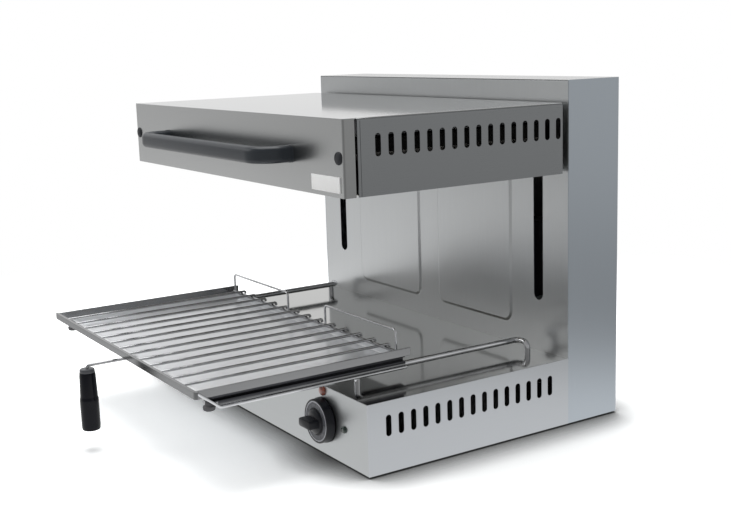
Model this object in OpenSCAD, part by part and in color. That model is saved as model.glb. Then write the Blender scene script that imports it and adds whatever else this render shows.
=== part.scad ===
// Cheese melter: a counter-top grill whose heated hood rides up and down on a
// rear column, above a wire rack that slides out of the low base.
// Millimetres. X is to the right, Y to the back, Z up, and the feet stand on Z = 0.
// Inside the modules Y = 0 is the base front; placed() then centres the depth.

/* [Base and column] */
// Width over the side panels
width = 600; // [560:5:640]
// Height of the base from its lower edge to the polished top
base_h = 87; // [80:1:100]
// Depth of the base in front of the column
base_d = 308; // [300:1:330]
// Height of the column from its lower edge
column_h = 442; // [436:1:460]
// Depth of the column
column_d = 88; // [84:1:110]
// Thickness of the sheet panels
sheet = 1.2; // [1:0.1:1.5]
// Height of the rubber feet below the panels
foot_h = 3; // [2:0.5:10]

/* [Hood] */
// Height of the hood
hood_h = 87.5; // [84:0.5:95]
// Height of the hood's lower edge above the base's lower edge, raised
hood_z = 327; // [320:1:332]
// Travel of the hood on the column
hood_travel = 177; // [120:1:177]
// Overhang of the hood in front of the base
hood_overhang = 20; // [10:1:30]
// Gap between the hood and the column
hood_gap = 10; // [8:0.5:12]
// Reach of the hood handle in front of the panel
handle_reach = 48; // [32:1:50]
// Length of the hood handle
handle_len = 376; // [300:2:420]

/* [Vents] */
// Width of a vent slot
vent_w = 7.6; // [4:0.2:8]
// Height of a vent slot
vent_h = 26; // [20:1:30]
// Spacing of the vent slots
vent_pitch = 17.7; // [16:0.1:18]
// Vent slots on each side of the hood
hood_vents = 16; // [8:1:16]
// Vent slots on each side of the base
base_vents = 15; // [8:1:15]

/* [Rack] */
// Width of the rack frame
rack_w = 476; // [470:1:476]
// Distance the rack stands out in front of the base
rack_out = 186; // [182:1:200]
// Depth of the rack from its front bar to the ends of its side bars
rack_d = 291; // [280:1:300]
// Rods of the wire grid
rod_count = 13; // [9:1:15]
// Spacing of the grid rods
rod_pitch = 33.3; // [28:0.1:33.3]
// Diameter of a grid rod
rod_dia = 3.5; // [3:0.5:4]
// Diameter of a guide rail
rail_dia = 8; // [6:0.5:8]
// Distance of a guide rail from the middle
rail_x = 230; // [230:1:232]

/* [Controls] */
// Diameter of the control knob
knob_dia = 55; // [45:1:60]
// Distance of the knob from the middle
knob_x = 200; // [150:1:210]

/* [Hidden] */
$fn = 48;
half = width / 2;
inner = half - sheet;
base_z = foot_h;
top_z = foot_h + base_h;
roof_z = foot_h + column_h;
rear_y = base_d + column_d;
rear_fold = 5;
screw_head = 1.6;

// Hood, at its raised rest place
hood_lo = foot_h + hood_z;
hood_hi = hood_lo + hood_h;
hood_front_y = -hood_overhang;
hood_rear_y = base_d - hood_gap;
hood_return = 13;
side_start_y = -1.6;
hem_w = 3.4;
plug_x = half - 11;
plug_z = hood_lo + 44;

// Rack and rails
rail_r = rail_dia / 2;
rail_z = top_z + 16;
rail_front_y = 31;
rail_straight_y = 275;
rail_bend = 8;
rail_side_step = 19;
bar_t = 3;
bar_h = 10;
bar_lo = rail_z + 11.5;
front_t = 4;
front_lo = bar_lo + 1.4;
rack_half = rack_w / 2;
front_half = rack_half + 4.2;
rack_front_y = -rack_out;
rack_rear_y = rack_front_y + rack_d;
rod_r = rod_dia / 2;
rod_z = bar_lo + 7.5;
cross_y = rack_rear_y - 12;
cross_r = 2.25;
cross_z = rod_z - rod_r - cross_r;
runner_rear_y = rack_rear_y - 8;
runner_front_y = rack_front_y + 18;
bead_front_y = rack_front_y + 30;
shelf_z = rail_z + rail_r + 0.3;
bead_r = 1.9;
bead_x = rack_half + 1.7;
bead_z = rail_z - 1.6;
tray_half = rail_x - rail_r - 2.5;
tray_front_y = rack_front_y + 21;
tray_rim_z = bar_lo;
tray_lo = tray_rim_z - 9;
tray_t = 1;
grip_y = rack_front_y - 38.6;
grip_r = 12.9;
grip_top = rail_z + 0.5;
grip_len = 79.5;
wire_r = 2;
wire_bend = 4;
wire_z = grip_top + wire_bend;

// Lift inside the column
slot_x = 242.5;
slot_w = 18;
slot_lo = foot_h + 155;
slot_hi = foot_h + 410;
guide_r = 6;
guide_y = base_d + 42;
guide_lo = foot_h + 127;
guide_hi = foot_h + 433;
block_lo = foot_h + 345;
block_hi = foot_h + 397;
block_half = 14;
arm_half = 6;
pulley_r = 18;
pulley_x = 200;
pulley_y = base_d + 44;
pulley_hi = foot_h + 415;
pulley_lo = foot_h + 125;
rope_r = 1.5;
shaft_r = 5;
running = 0.05;
weight_lo = foot_h + 137;
weight_h = 110;

// Controls on the base front
knob_z = base_z + base_h / 2;
knob_gap = 0.8;
knob_t = 11.2;
spindle_r = 3;
lamp_z = base_z + 80.5;
lamp_side_x = knob_x + 47.6;

// Middle of the whole depth, from the front of the grip to the rear screws
mid_y = (rear_y + screw_head + grip_y - grip_r) / 2;

// ---------------------------------------------------------------- helpers

module placed() {
    translate([0, -mid_y, 0]) children();
}

module slab(x0, x1, y0, y1, z0, z1) {
    translate([x0, y0, z0]) cube([x1 - x0, y1 - y0, z1 - z0]);
}

module both_sides() {
    children();
    mirror([1, 0, 0]) children();
}

module left_side() {
    mirror([1, 0, 0]) children();
}

module rod_x(y, z, r, x0, x1) {
    translate([x0, y, z]) rotate([0, 90, 0]) cylinder(r = r, h = x1 - x0);
}

module rod_y(x, z, r, y0, y1) {
    translate([x, y0, z]) rotate([-90, 0, 0]) cylinder(r = r, h = y1 - y0);
}

module rod_z(x, y, r, z0, z1) {
    translate([x, y, z0]) cylinder(r = r, h = z1 - z0);
}

// Round bar bent in a plane: centre of the bend, bend radius, bar radius and angles
module bend_xy(x, y, z, bend, r, from, to) {
    translate([x, y, z]) rotate([0, 0, from])
        rotate_extrude(angle = to - from) translate([bend, 0]) circle(r);
}

module bend_yz(x, y, z, bend, r, from, to) {
    translate([x, y, z]) rotate([90, 0, 90]) rotate([0, 0, from])
        rotate_extrude(angle = to - from) translate([bend, 0]) circle(r);
}

module bend_xz(x, y, z, bend, r, from, to) {
    translate([x, y, z]) rotate([90, 0, 0]) rotate([0, 0, from])
        rotate_extrude(angle = to - from) translate([bend, 0]) circle(r);
}

module rounded_rect(w, h, r) {
    square([w - 2 * r, h], center = true);
    square([w, h - 2 * r], center = true);
    for (sx = [-1, 1], sy = [-1, 1])
        translate([sx * (w / 2 - r), sy * (h / 2 - r)]) circle(r);
}

// Upright slot with round ends, centred on the origin
module slot_outline(w, h) {
    rounded_rect(w, h, w / 2 - 0.001);
}

// Row of vent slots cut through a side panel
module vent_row(count, y_first, z_mid) {
    for (i = [0 : count - 1])
        translate([0, y_first + i * vent_pitch, z_mid])
            rotate([90, 0, 90])
                linear_extrude(height = 2 * width, center = true)
                    slot_outline(vent_w, vent_h);
}

// ---------------------------------------------------------------- base

module base_front() {
    color("#b9b9b5") placed() difference() {
        union() {
            slab(-inner, inner, 0, sheet, base_z, top_z);
            slab(-inner, inner, sheet, 14, top_z - 2 * sheet, top_z - sheet);
            slab(-inner, inner, sheet, 14, base_z + sheet, base_z + 2 * sheet);
        }
        rod_y(knob_x, knob_z, 5, -1, sheet + 1);
        rod_y(knob_x, lamp_z, 4, -1, 15);
        rod_y(lamp_side_x, knob_z, 3, -1, sheet + 1);
    }
}

module base_side() {
    placed() difference() {
        slab(inner, half, 0, base_d, base_z, top_z);
        vent_row(base_vents, 28.8, base_z + 57.3);
    }
}

module base_side_right() {
    color("#c4c5cb") base_side();
}

module base_side_left() {
    color("#c4c5cb") left_side() base_side();
}

module base_top() {
    color("#8d8a85") placed() difference() {
        slab(-inner, inner, sheet, base_d, top_z - sheet, top_z);
        both_sides() {
            rod_z(rail_x, rail_front_y, 3.2, top_z - 5, top_z + 1);
            rod_z(rail_x + rail_side_step, rail_straight_y + rail_bend, 3.2, top_z - 5, top_z + 1);
        }
    }
}

module base_floor() {
    color("#9a9a9a") placed() translate([0, 0, base_z])
        linear_extrude(height = sheet) inside_plan(sheet);
}

module feet() {
    color("#1c1c1c") placed() both_sides()
        for (y = [40, rear_y - 40])
            translate([half - 45, y, 0]) cylinder(r1 = 13, r2 = 14, h = foot_h);
}

// ---------------------------------------------------------------- column

// Stiffening panel pressed forward out of the splash plate, with sloping edges
module pressed_panel(w, h) {
    bevel = 4;
    rise = 2;
    corner = 16;
    translate([106, base_d, top_z + 27 + 135]) rotate([90, 0, 0]) {
        for (sx = [-1, 1], sy = [-1, 1])
            translate([sx * (w / 2 - corner), sy * (h / 2 - corner), 0])
                cylinder(r1 = corner, r2 = corner - bevel, h = rise);
        rotate([90, 0, 0]) linear_extrude(height = h - 2 * corner, center = true)
            polygon([[-w / 2, 0], [w / 2, 0], [w / 2 - bevel, rise], [-w / 2 + bevel, rise]]);
        rotate([90, 0, 90]) linear_extrude(height = w - 2 * corner, center = true)
            polygon([[-h / 2, 0], [h / 2, 0], [h / 2 - bevel, rise], [-h / 2 + bevel, rise]]);
    }
}

module column_front() {
    color("#a5a6a2") placed() difference() {
        union() {
            slab(-inner, inner, base_d, base_d + sheet, top_z - sheet, roof_z - sheet);
            both_sides() pressed_panel(168, 270);
        }
        both_sides() {
            translate([0, sheet, 0]) pressed_panel(168 - 2 * sheet, 270 - 2 * sheet);
            translate([slot_x, base_d, (slot_lo + slot_hi) / 2])
                rotate([90, 0, 0])
                    linear_extrude(height = 20, center = true)
                        slot_outline(slot_w, slot_hi - slot_lo);
        }
    }
}

// Plan of a plate that fits inside the rounded rear corners of the column
module inside_plan(y_front) {
    r = rear_fold - sheet;
    translate([-inner, y_front]) square([2 * inner, rear_y - rear_fold - y_front]);
    translate([-half + rear_fold, y_front])
        square([2 * (half - rear_fold), rear_y - sheet - y_front]);
    for (s = [-1, 1])
        translate([s * (half - rear_fold), rear_y - rear_fold]) circle(r);
}

// Side of the column, folded round the rear corner
module column_side() {
    fold = rear_fold;
    flange = 16;
    placed() translate([0, 0, base_z]) linear_extrude(height = column_h) {
        translate([inner, base_d]) square([sheet, column_d - fold]);
        translate([half - fold, rear_y - fold]) intersection() {
            difference() {
                circle(fold);
                circle(fold - sheet);
            }
            square(2 * fold);
        }
        translate([half - fold - flange, rear_y - sheet]) square([flange, sheet]);
    }
}

module column_side_right() {
    color("#8f959c") column_side();
}

module column_side_left() {
    color("#8f959c") left_side() column_side();
}

module column_rear() {
    edge = half - 24.5;
    color("#a0a0a0") placed() difference() {
        slab(-edge, edge, rear_y - sheet, rear_y, base_z + sheet, roof_z - sheet);
        for (i = [-7 : 7], z = [90, 360])
            translate([i * 2 * vent_pitch, rear_y, z])
                rotate([90, 0, 0])
                    linear_extrude(height = 10, center = true)
                        slot_outline(vent_w, 40);
        rod_y(-220, base_z + 42, 8, rear_y - 5, rear_y + 5);
    }
}

module column_top() {
    color("#b0b0ae") placed() translate([0, 0, roof_z - sheet])
        linear_extrude(height = sheet) inside_plan(base_d);
}

module rear_screws() {
    color("#c8c8c8") placed() both_sides()
        for (z = [30, 160, 290, 420])
            rod_y(half - 33, z, 3.5, rear_y, rear_y + screw_head);
}

module cable_gland() {
    color("#202020") placed() difference() {
        union() {
            rod_y(-220, base_z + 42, 7.9, rear_y - 14, rear_y);
            rod_y(-220, base_z + 42, 11, rear_y, rear_y + screw_head);
        }
        rod_y(-220, base_z + 42, 5, rear_y - 15, rear_y + screw_head + 1);
    }
}

module terminal_block() {
    color("#e6e1d2") placed() difference() {
        slab(-180, -120, 300, 330, base_z + sheet, base_z + 24);
        for (i = [0 : 4])
            rod_z(-174 + 12 * i, 308, 3, base_z + 14, base_z + 30);
    }
}

// ---------------------------------------------------------------- guide rails

module rail() {
    leg_y = rail_straight_y + rail_bend;
    post_x = rail_x + rail_side_step;
    placed() {
        rod_z(rail_x, rail_front_y, 3, top_z - 10, top_z);
        rod_z(rail_x, rail_front_y, rail_r, top_z, rail_z - rail_bend);
        bend_yz(rail_x, rail_front_y + rail_bend, rail_z - rail_bend, rail_bend, rail_r, 90, 180);
        rod_y(rail_x, rail_z, rail_r, rail_front_y + rail_bend, rail_straight_y);
        bend_xy(rail_x + rail_bend, rail_straight_y, rail_z, rail_bend, rail_r, 90, 180);
        rod_x(leg_y, rail_z, rail_r, rail_x + rail_bend, post_x - rail_bend);
        bend_xz(post_x - rail_bend, leg_y, rail_z - rail_bend, rail_bend, rail_r, 0, 90);
        rod_z(post_x, leg_y, rail_r, top_z, rail_z - rail_bend);
        rod_z(post_x, leg_y, 3, top_z - 10, top_z);
    }
}

module rail_right() {
    color("#d7d9db") rail();
}

module rail_left() {
    color("#d7d9db") left_side() rail();
}

module rail_nuts() {
    color("#c0c0c0") placed() both_sides()
        for (p = [[rail_x, rail_front_y], [rail_x + rail_side_step, rail_straight_y + rail_bend]])
            translate([p[0], p[1], top_z - sheet - 6]) difference() {
                cylinder(r = 5.8, h = 5, $fn = 6);
                translate([0, 0, -1]) cylinder(r = 3.01, h = 7);
            }
}

// ---------------------------------------------------------------- controls

module regulator() {
    color("#d8d4c8") placed() difference() {
        union() {
            slab(knob_x - 20, knob_x + 20, sheet, 32, knob_z - 24, knob_z + 24);
            rod_y(knob_x, knob_z, 4.8, -0.4, 16);
        }
        rod_y(knob_x, knob_z, spindle_r + running, -2, 28);
    }
}

module knob_spindle() {
    color("#b5b5b5") placed()
        rod_y(knob_x, knob_z, spindle_r, -knob_gap - 8, 27);
}

// Moulded knob: a dished disc with a low hub and a pointer bar across it
module knob() {
    r = knob_dia / 2;
    back = -knob_gap;
    face = back - knob_t;
    nose = face - 16.5;
    color("#202224") placed() translate([knob_x, 0, knob_z]) difference() {
        union() {
            translate([0, back, 0]) rotate([90, 0, 0]) rotate_extrude($fn = 96)
                polygon([[0, 0], [r + 0.8, 0], [r + 0.8, 2], [r, 4], [r, knob_t - 1.2],
                         [r - 1.2, knob_t], [r - 2.4, knob_t], [r - 3, knob_t - 0.6],
                         [16, knob_t - 0.6], [15, knob_t + 2.4], [11.5, knob_t + 4.4],
                         [0, knob_t + 4.4]]);
            translate([0, face + 2, 0]) rotate([90, 0, 0])
                linear_extrude(height = face + 2 - nose) rounded_rect(28, 11, 2.2);
        }
        rod_y(0, 0, spindle_r + 0.01, -knob_gap - 8, 1);
        rod_y(0, 0, 6.5, -knob_gap - 1, 1);
    }
}

module lamp(x, z, r, body_r) {
    placed() {
        rod_y(x, z, body_r, 0, 20);
        translate([x, 0, z]) rotate([90, 0, 0]) rotate_extrude()
            polygon([[0, 0], [r, 0], [r, 1.6], [r - 1.2, 3], [r - 3, 3.8], [0, 4.2]]);
    }
}

module lamp_red() {
    color("#b8442c") lamp(knob_x, lamp_z, 6.3, 3.9);
}

module lamp_green() {
    color("#2e7a4c") lamp(lamp_side_x, knob_z, 4.5, 2.9);
}

// ---------------------------------------------------------------- lift mechanism

module guide_rods() {
    color("#cfd2d4") placed() both_sides()
        rod_z(slot_x, guide_y, guide_r, guide_lo, guide_hi);
}

module guide_brackets() {
    color("#9a9c9e") placed() both_sides()
        for (z = [guide_lo, guide_hi - 5])
            difference() {
                union() {
                    slab(slot_x - 22, slot_x + 22, base_d + sheet, guide_y + 16, z, z + 5);
                    slab(slot_x - 22, slot_x + 22, base_d + sheet, base_d + sheet + 3, z - 14, z);
                }
                rod_z(slot_x, guide_y, guide_r + 0.01, z - 1, z + 6);
            }
}

module lift_buffers() {
    low_top = block_lo - hood_travel - 0.5;
    color("#242424") placed() both_sides() {
        difference() {
            rod_z(slot_x, guide_y, 12, guide_lo + 5, low_top);
            rod_z(slot_x, guide_y, guide_r + 0.5, guide_lo, low_top + 1);
        }
        difference() {
            rod_z(slot_x, guide_y, 12, block_hi + 0.5, guide_hi - 5);
            rod_z(slot_x, guide_y, guide_r + 0.5, block_hi, guide_hi);
        }
    }
}

module shaft_bearings() {
    color("#9a9c9e") placed() both_sides() difference() {
        union() {
            slab(pulley_x + 14, pulley_x + 19, base_d + sheet, pulley_y + 8, pulley_hi - 10, pulley_hi + 12);
            rod_x(pulley_y, pulley_hi, 9, pulley_x + 12, pulley_x + 19);
        }
        rod_x(pulley_y, pulley_hi, shaft_r + running, pulley_x + 10, pulley_x + 20);
    }
}

module idler_brackets() {
    color("#9a9c9e") placed() both_sides() {
        slab(pulley_x + 8, pulley_x + 12, base_d + sheet, pulley_y + 10, pulley_lo - 10, pulley_lo + 10);
        rod_x(pulley_y, pulley_lo, 4, pulley_x - 8, pulley_x + 8);
    }
}

// Grooved pulley turning about X, with its middle at the origin
module pulley(bore) {
    groove = pulley_r - rope_r - 0.3;
    rotate([0, 90, 0]) rotate_extrude()
        polygon([[bore, -5], [pulley_r + 3, -5], [pulley_r + 3, -3.6], [groove, -1.5],
                 [groove, 1.5], [pulley_r + 3, 3.6], [pulley_r + 3, 5], [bore, 5]]);
}

module lift_shaft() {
    color("#c9ccce") placed() {
        rod_x(pulley_y, pulley_hi, shaft_r, -pulley_x - 19, pulley_x + 19);
        both_sides() translate([pulley_x, pulley_y, pulley_hi]) pulley(shaft_r - 1);
    }
}

module idler() {
    placed() translate([pulley_x, pulley_y, pulley_lo]) pulley(4 + running);
}

module idler_right() {
    color("#c9ccce") idler();
}

module idler_left() {
    color("#c9ccce") left_side() idler();
}

// Closed rope loop over an upper and a lower pulley on each side
module lift_ropes() {
    color("#777b80") placed() both_sides() {
        rod_z(pulley_x, pulley_y - pulley_r, rope_r, pulley_lo, pulley_hi);
        rod_z(pulley_x, pulley_y + pulley_r, rope_r, pulley_lo, pulley_hi);
        bend_yz(pulley_x, pulley_y, pulley_hi, pulley_r, rope_r, 0, 180);
        bend_yz(pulley_x, pulley_y, pulley_lo, pulley_r, rope_r, 180, 360);
    }
}

module counterweight() {
    ear_lo = weight_lo + 50;
    rear = rear_y - 8;
    front = pulley_y + 8;
    color("#5c5f63") placed() difference() {
        union() {
            slab(-pulley_x + 15, pulley_x - 15, front, rear, weight_lo, weight_lo + weight_h);
            both_sides()
                slab(pulley_x - 15, pulley_x + 8, pulley_y + 12, pulley_y + 28, ear_lo, ear_lo + 18);
        }
        both_sides() rod_z(pulley_x, pulley_y + pulley_r, rope_r + 0.5, ear_lo - 1, ear_lo + 19);
    }
}

// ---------------------------------------------------------------- carriage

module carriage() {
    flange_y = hood_rear_y;
    placed() difference() {
        union() {
            slab(slot_x - block_half, slot_x + block_half, guide_y - 14, guide_y + 14, block_lo, block_hi);
            slab(slot_x - arm_half, slot_x + arm_half, flange_y, guide_y - 14, block_lo + 2, block_hi - 2);
            slab(slot_x - 18, slot_x + 18, flange_y, flange_y + 4, block_lo, block_hi);
        }
        rod_z(slot_x, guide_y, 8.01, block_lo - 1, block_hi + 1);
    }
}

module carriage_right() {
    color("#8b8e92") carriage();
}

module carriage_left() {
    color("#8b8e92") left_side() carriage();
}

module carriage_bushings() {
    color("#b08d57") placed() both_sides()
        for (z = [block_lo, block_hi - 16])
            difference() {
                rod_z(slot_x, guide_y, 8, z, z + 16);
                rod_z(slot_x, guide_y, guide_r + running, z - 1, z + 17);
            }
}

module carriage_tie() {
    reach = slot_x - block_half;
    color("#8b8e92") placed()
        slab(-reach, reach, pulley_y - 10, pulley_y - 2, block_lo + 8, block_lo + 36);
}

module rope_clamps() {
    color("#6f7276") placed() both_sides() difference() {
        slab(pulley_x - 9, pulley_x + 9, pulley_y - 25, pulley_y - 10, block_lo + 12, block_lo + 32);
        rod_z(pulley_x, pulley_y - pulley_r, rope_r + 0.5, block_lo, block_lo + 40);
    }
}

// ---------------------------------------------------------------- hood

// Front panel folded back at both ends
module hood_front() {
    fold = 2.5;
    outer = half - 0.6;
    color("#a9aaa6") placed() difference() {
        translate([0, 0, hood_lo]) linear_extrude(height = hood_h) difference() {
            union() {
                translate([-outer + fold, hood_front_y]) square([2 * (outer - fold), hood_return]);
                translate([-outer, hood_front_y + fold]) square([2 * outer, hood_return - fold]);
                for (s = [-1, 1])
                    translate([s * (outer - fold), hood_front_y + fold]) circle(fold);
            }
            translate([-outer + sheet, hood_front_y + sheet])
                square([2 * (outer - sheet), hood_return]);
        }
        both_sides() rod_y(plug_x, plug_z, 3, hood_front_y - 1, hood_front_y + 5);
    }
}

module hood_plugs() {
    color("#26282a") placed() both_sides() {
        rod_y(plug_x, plug_z, 2.95, hood_front_y, hood_front_y + 8);
        translate([plug_x, hood_front_y, plug_z]) rotate([90, 0, 0]) rotate_extrude()
            polygon([[0, 0], [7.5, 0], [7.5, 0.8], [6.2, 1.8], [0, 2.4]]);
    }
}

// Top and two sides folded from one sheet
module hood_cover() {
    fold = 3;
    front = hood_front_y + sheet;
    color("#a3a6a8") placed() difference() {
        translate([0, front, 0]) rotate([90, 0, 0]) mirror([0, 0, 1])
            linear_extrude(height = hood_rear_y - front) difference() {
                union() {
                    translate([-half, hood_lo]) square([width, hood_h - fold]);
                    translate([-half + fold, hood_hi - fold]) square([width - 2 * fold, fold]);
                    for (s = [-1, 1])
                        translate([s * (half - fold), hood_hi - fold]) circle(fold);
                }
                translate([-inner, hood_lo - 1]) square([2 * inner, hood_h + 1 - sheet]);
            }
        slab(-half - 1, half + 1, front - 1, side_start_y, hood_lo - 1, hood_hi - fold);
        both_sides()
            slab(half - 2, half + 1, front - 1, side_start_y, hood_lo - 1, hood_hi + 1);
        vent_row(hood_vents, 25.2, hood_lo + 56.5);
        both_sides()
            slab(half - 0.5, half + 1, side_start_y + hem_w, side_start_y + hem_w + 0.7,
                 hood_lo - 1, hood_hi - fold);
    }
}

module hood_rear() {
    color("#9a9b9b") placed() difference() {
        slab(-inner, inner, hood_rear_y - sheet, hood_rear_y, hood_lo, hood_hi - sheet);
        both_sides() for (z = [block_lo + 8, block_hi - 8])
            rod_y(slot_x + 12, z, 2.5, hood_rear_y - 5, hood_rear_y + 1);
    }
}

// Bow handle: one rounded section carried along the bar, corners and legs
module hood_handle() {
    depth = 16;
    tall = 20;
    corner = 26;
    leg_x = handle_len / 2 - depth / 2;
    bar_y = hood_front_y - handle_reach + depth / 2;
    color("#33363a") placed() translate([0, 0, hood_lo + 42.5]) {
        rotate([0, 90, 0])
            linear_extrude(height = 2 * (leg_x - corner), center = true)
                translate([0, bar_y]) rounded_rect(tall, depth, 6);
        both_sides() {
            translate([leg_x - corner, bar_y + corner, 0])
                rotate([0, 0, -90])
                    rotate_extrude(angle = 90)
                        translate([corner, 0]) rounded_rect(depth, tall, 6);
            translate([leg_x, bar_y + corner, 0])
                rotate([-90, 0, 0])
                    linear_extrude(height = hood_front_y - bar_y - corner)
                        rounded_rect(depth, tall, 6);
        }
    }
}

reflector_half = half - 28;
reflector_front = 4;
reflector_rear = hood_rear_y - 8;
reflector_z = hood_lo + 44;
element_z = hood_lo + 25;
element_r = 4.25;
element_bend = 22;
element_ends = reflector_half + 14;

// Inverted tray over the heating elements, with a flange that closes the hood's lower edge
module hood_reflector() {
    color("#c7c7c3") placed() difference() {
        union() {
            slab(-reflector_half, reflector_half, reflector_front, reflector_rear,
                 hood_lo + 2, reflector_z + 1);
            slab(-inner, inner, hood_front_y + hood_return + 0.5, hood_rear_y - sheet,
                 hood_lo + 2, hood_lo + 3);
        }
        slab(-reflector_half + 1, reflector_half - 1, reflector_front + 1, reflector_rear - 1,
             hood_lo + 1, reflector_z);
        for (y = element_rows())
            for (s = [-1, 1])
                rod_x(y + s * element_bend, element_z, element_r + 0.3, -half, -reflector_half + 5);
    }
}

module hood_insulation() {
    color("#d9cf9f") placed()
        slab(-reflector_half, reflector_half, reflector_front, reflector_rear,
             reflector_z + 1, reflector_z + 17);
}

module hood_beams() {
    lo = reflector_z + 17;
    hi = hood_hi - sheet;
    color("#97999b") placed() both_sides() {
        slab(slot_x - 6, slot_x - 4, hood_front_y + sheet, hood_rear_y - sheet, lo, hi - 2);
        slab(slot_x - 6, slot_x + 16, hood_front_y + sheet, hood_rear_y - sheet, hi - 2, hi);
    }
}

// Middle line of each hairpin element, from the front
function element_rows() = [for (i = [0 : 2]) 55 + 92 * i];

// Tubular hairpin element with its two ends through the left side of the reflector
module element(row) {
    y = element_rows()[row];
    bend_x = reflector_half - 46;
    color("#6a625c") placed() {
        for (s = [-1, 1]) {
            rod_x(y + s * element_bend, element_z, element_r, -element_ends, bend_x);
            rod_x(y + s * element_bend, element_z, 2, -element_ends - 8, -element_ends);
        }
        bend_xy(bend_x, y, element_z, element_bend, element_r, -90, 90);
    }
}

module element_front() {
    element(0);
}

module element_middle() {
    element(1);
}

module element_rear() {
    element(2);
}

module element_hangers() {
    color("#bdbdb8") placed() for (x = [-130, 130])
        difference() {
            slab(x - 1, x + 1, 24, 270, element_z - 8, reflector_z);
            for (y = element_rows())
                for (s = [-1, 1])
                    rod_x(y + s * element_bend, element_z, element_r + 0.01, x - 2, x + 2);
        }
}

// ---------------------------------------------------------------- rack

module rack_front_bar() {
    round_r = 3.8;
    color("#9fa1a3") placed() translate([0, rack_front_y, front_lo])
        linear_extrude(height = bar_lo + bar_h - front_lo) {
            translate([-front_half, round_r]) square([2 * front_half, front_t - round_r]);
            translate([-front_half + round_r, 0])
                square([2 * (front_half - round_r), front_t]);
            for (s = [-1, 1])
                translate([s * (front_half - round_r), round_r]) intersection() {
                    circle(round_r);
                    translate([-round_r, -round_r]) square([2 * round_r, round_r]);
                }
        }
}

module rack_side_bars() {
    color("#9fa1a3") placed() both_sides()
        slab(rack_half - bar_t, rack_half, rack_front_y + front_t, rack_rear_y, bar_lo, bar_lo + bar_h);
}

// Grid rods with their rear ends bent down, welded over one cross rod
module rack_rods() {
    hook = 2.5;
    end_y = rack_rear_y - 3.75 - rod_r;
    first = -(rod_count - 1) / 2 * rod_pitch;
    color("#b9bcbe") placed() {
        for (i = [0 : rod_count - 1]) {
            x = first + i * rod_pitch;
            rod_y(x, rod_z, rod_r, rack_front_y + front_t, end_y - hook);
            bend_yz(x, end_y - hook, rod_z - hook, hook, rod_r, 0, 90);
            rod_z(x, end_y, rod_r, rod_z - hook - 1.4, rod_z - hook);
        }
        rod_x(cross_y, cross_z + 0.2, cross_r, -rack_half + bar_t, rack_half - bar_t);
    }
}

// Two low wire arches on the cross rod, which keep food from falling off the back
module rack_stops() {
    r = 1.5;
    bend = 5;
    lo = cross_z + 0.2 + cross_r;
    hi = lo + 25.2;
    y = cross_y + 0.7;
    left = 52;
    right = 223;
    color("#c4c7c9") placed() both_sides() {
        rod_z(left, y, r, lo, hi - bend);
        bend_xz(left + bend, y, hi - bend, bend, r, 90, 180);
        rod_x(y, hi, r, left + bend, right - bend);
        bend_xz(right - bend, y, hi - bend, bend, r, 0, 90);
        rod_z(right, y, r, lo, hi - bend);
    }
}

module drip_tray() {
    rim = rack_half - bar_t - 0.2;
    rear = runner_rear_y;
    color("#c3c6c8") placed() difference() {
        union() {
            slab(-tray_half, tray_half, tray_front_y, rear, tray_lo, tray_rim_z);
            slab(-rim, rim, tray_front_y - 3, rear, tray_rim_z, tray_rim_z + tray_t);
        }
        slab(-tray_half + tray_t, tray_half - tray_t, tray_front_y + tray_t, rear - tray_t,
             tray_lo + tray_t, tray_rim_z + 2);
    }
}

// Folded runner: shelf over the rail, web up to the side bar, a lip outside the rail with
// a bead wire that runs up to the back of the front bar, and at the rear a hook under the
// rail that stops the rack tipping and coming off
module runner() {
    shelf_t = 1.5;
    web_x = rail_x + 1;
    lip_x = rack_half - shelf_t;
    hook_x = rail_x - rail_r - 1.7;
    hook_y = rail_front_y + rail_bend + 1;
    hook_lo = rail_z - rail_r - 2;
    nose_r = 1.65;
    nose_slope = 38;
    bar_back = rack_front_y + front_t;
    placed() {
        translate([0, runner_front_y, 0]) rotate([90, 0, 0]) mirror([0, 0, 1])
            linear_extrude(height = runner_rear_y - runner_front_y) {
                translate([hook_x, shelf_z]) square([rack_half - hook_x, shelf_t]);
                translate([web_x, shelf_z]) square([shelf_t, bar_lo - shelf_z]);
                translate([web_x, bar_lo - shelf_t])
                    square([rack_half - 1.5 - web_x, shelf_t]);
            }
        slab(lip_x, rack_half, bead_front_y, runner_rear_y, bead_z, shelf_z + 1);
        rod_y(bead_x, bead_z, bead_r, bead_front_y, runner_rear_y);
        difference() {
            translate([bead_x, bead_front_y, bead_z]) {
                sphere(bead_r);
                rotate([90 - nose_slope, 0, 0]) cylinder(r = nose_r, h = 40);
            }
            slab(bead_x - 5, bead_x + 5, bar_back - 20, bar_back, bar_lo - 5, bar_lo + 30);
        }
        slab(hook_x, hook_x + 1.2, hook_y, runner_rear_y, hook_lo, shelf_z);
        slab(hook_x, rail_x + 3.5, hook_y, runner_rear_y, hook_lo, hook_lo + 1.5);
    }
}

module runner_right() {
    color("#d0d2d4") runner();
}

module runner_left() {
    color("#d0d2d4") left_side() runner();
}

// Rubber feet on short studs under the runners, for when the rack is set down
module rack_feet() {
    y = runner_front_y + 3.2;
    x = rail_x + 1.3;
    lo = rail_z - 5.7;
    color("#2a2b2c") placed() both_sides() {
        translate([x, y, lo]) cylinder(r1 = 5.6, r2 = 6.4, h = 4);
        rod_z(x, y, 2.2, lo + 4, shelf_z);
    }
}

module rack_handle() {
    end_y = grip_y + wire_bend;
    color("#8f9194") placed() {
        rod_y(0, wire_z, wire_r, end_y, tray_front_y);
        bend_yz(0, end_y, wire_z - wire_bend, wire_bend, wire_r, 90, 180);
        rod_z(0, grip_y, wire_r, grip_top - 30, wire_z - wire_bend);
    }
}

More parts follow.
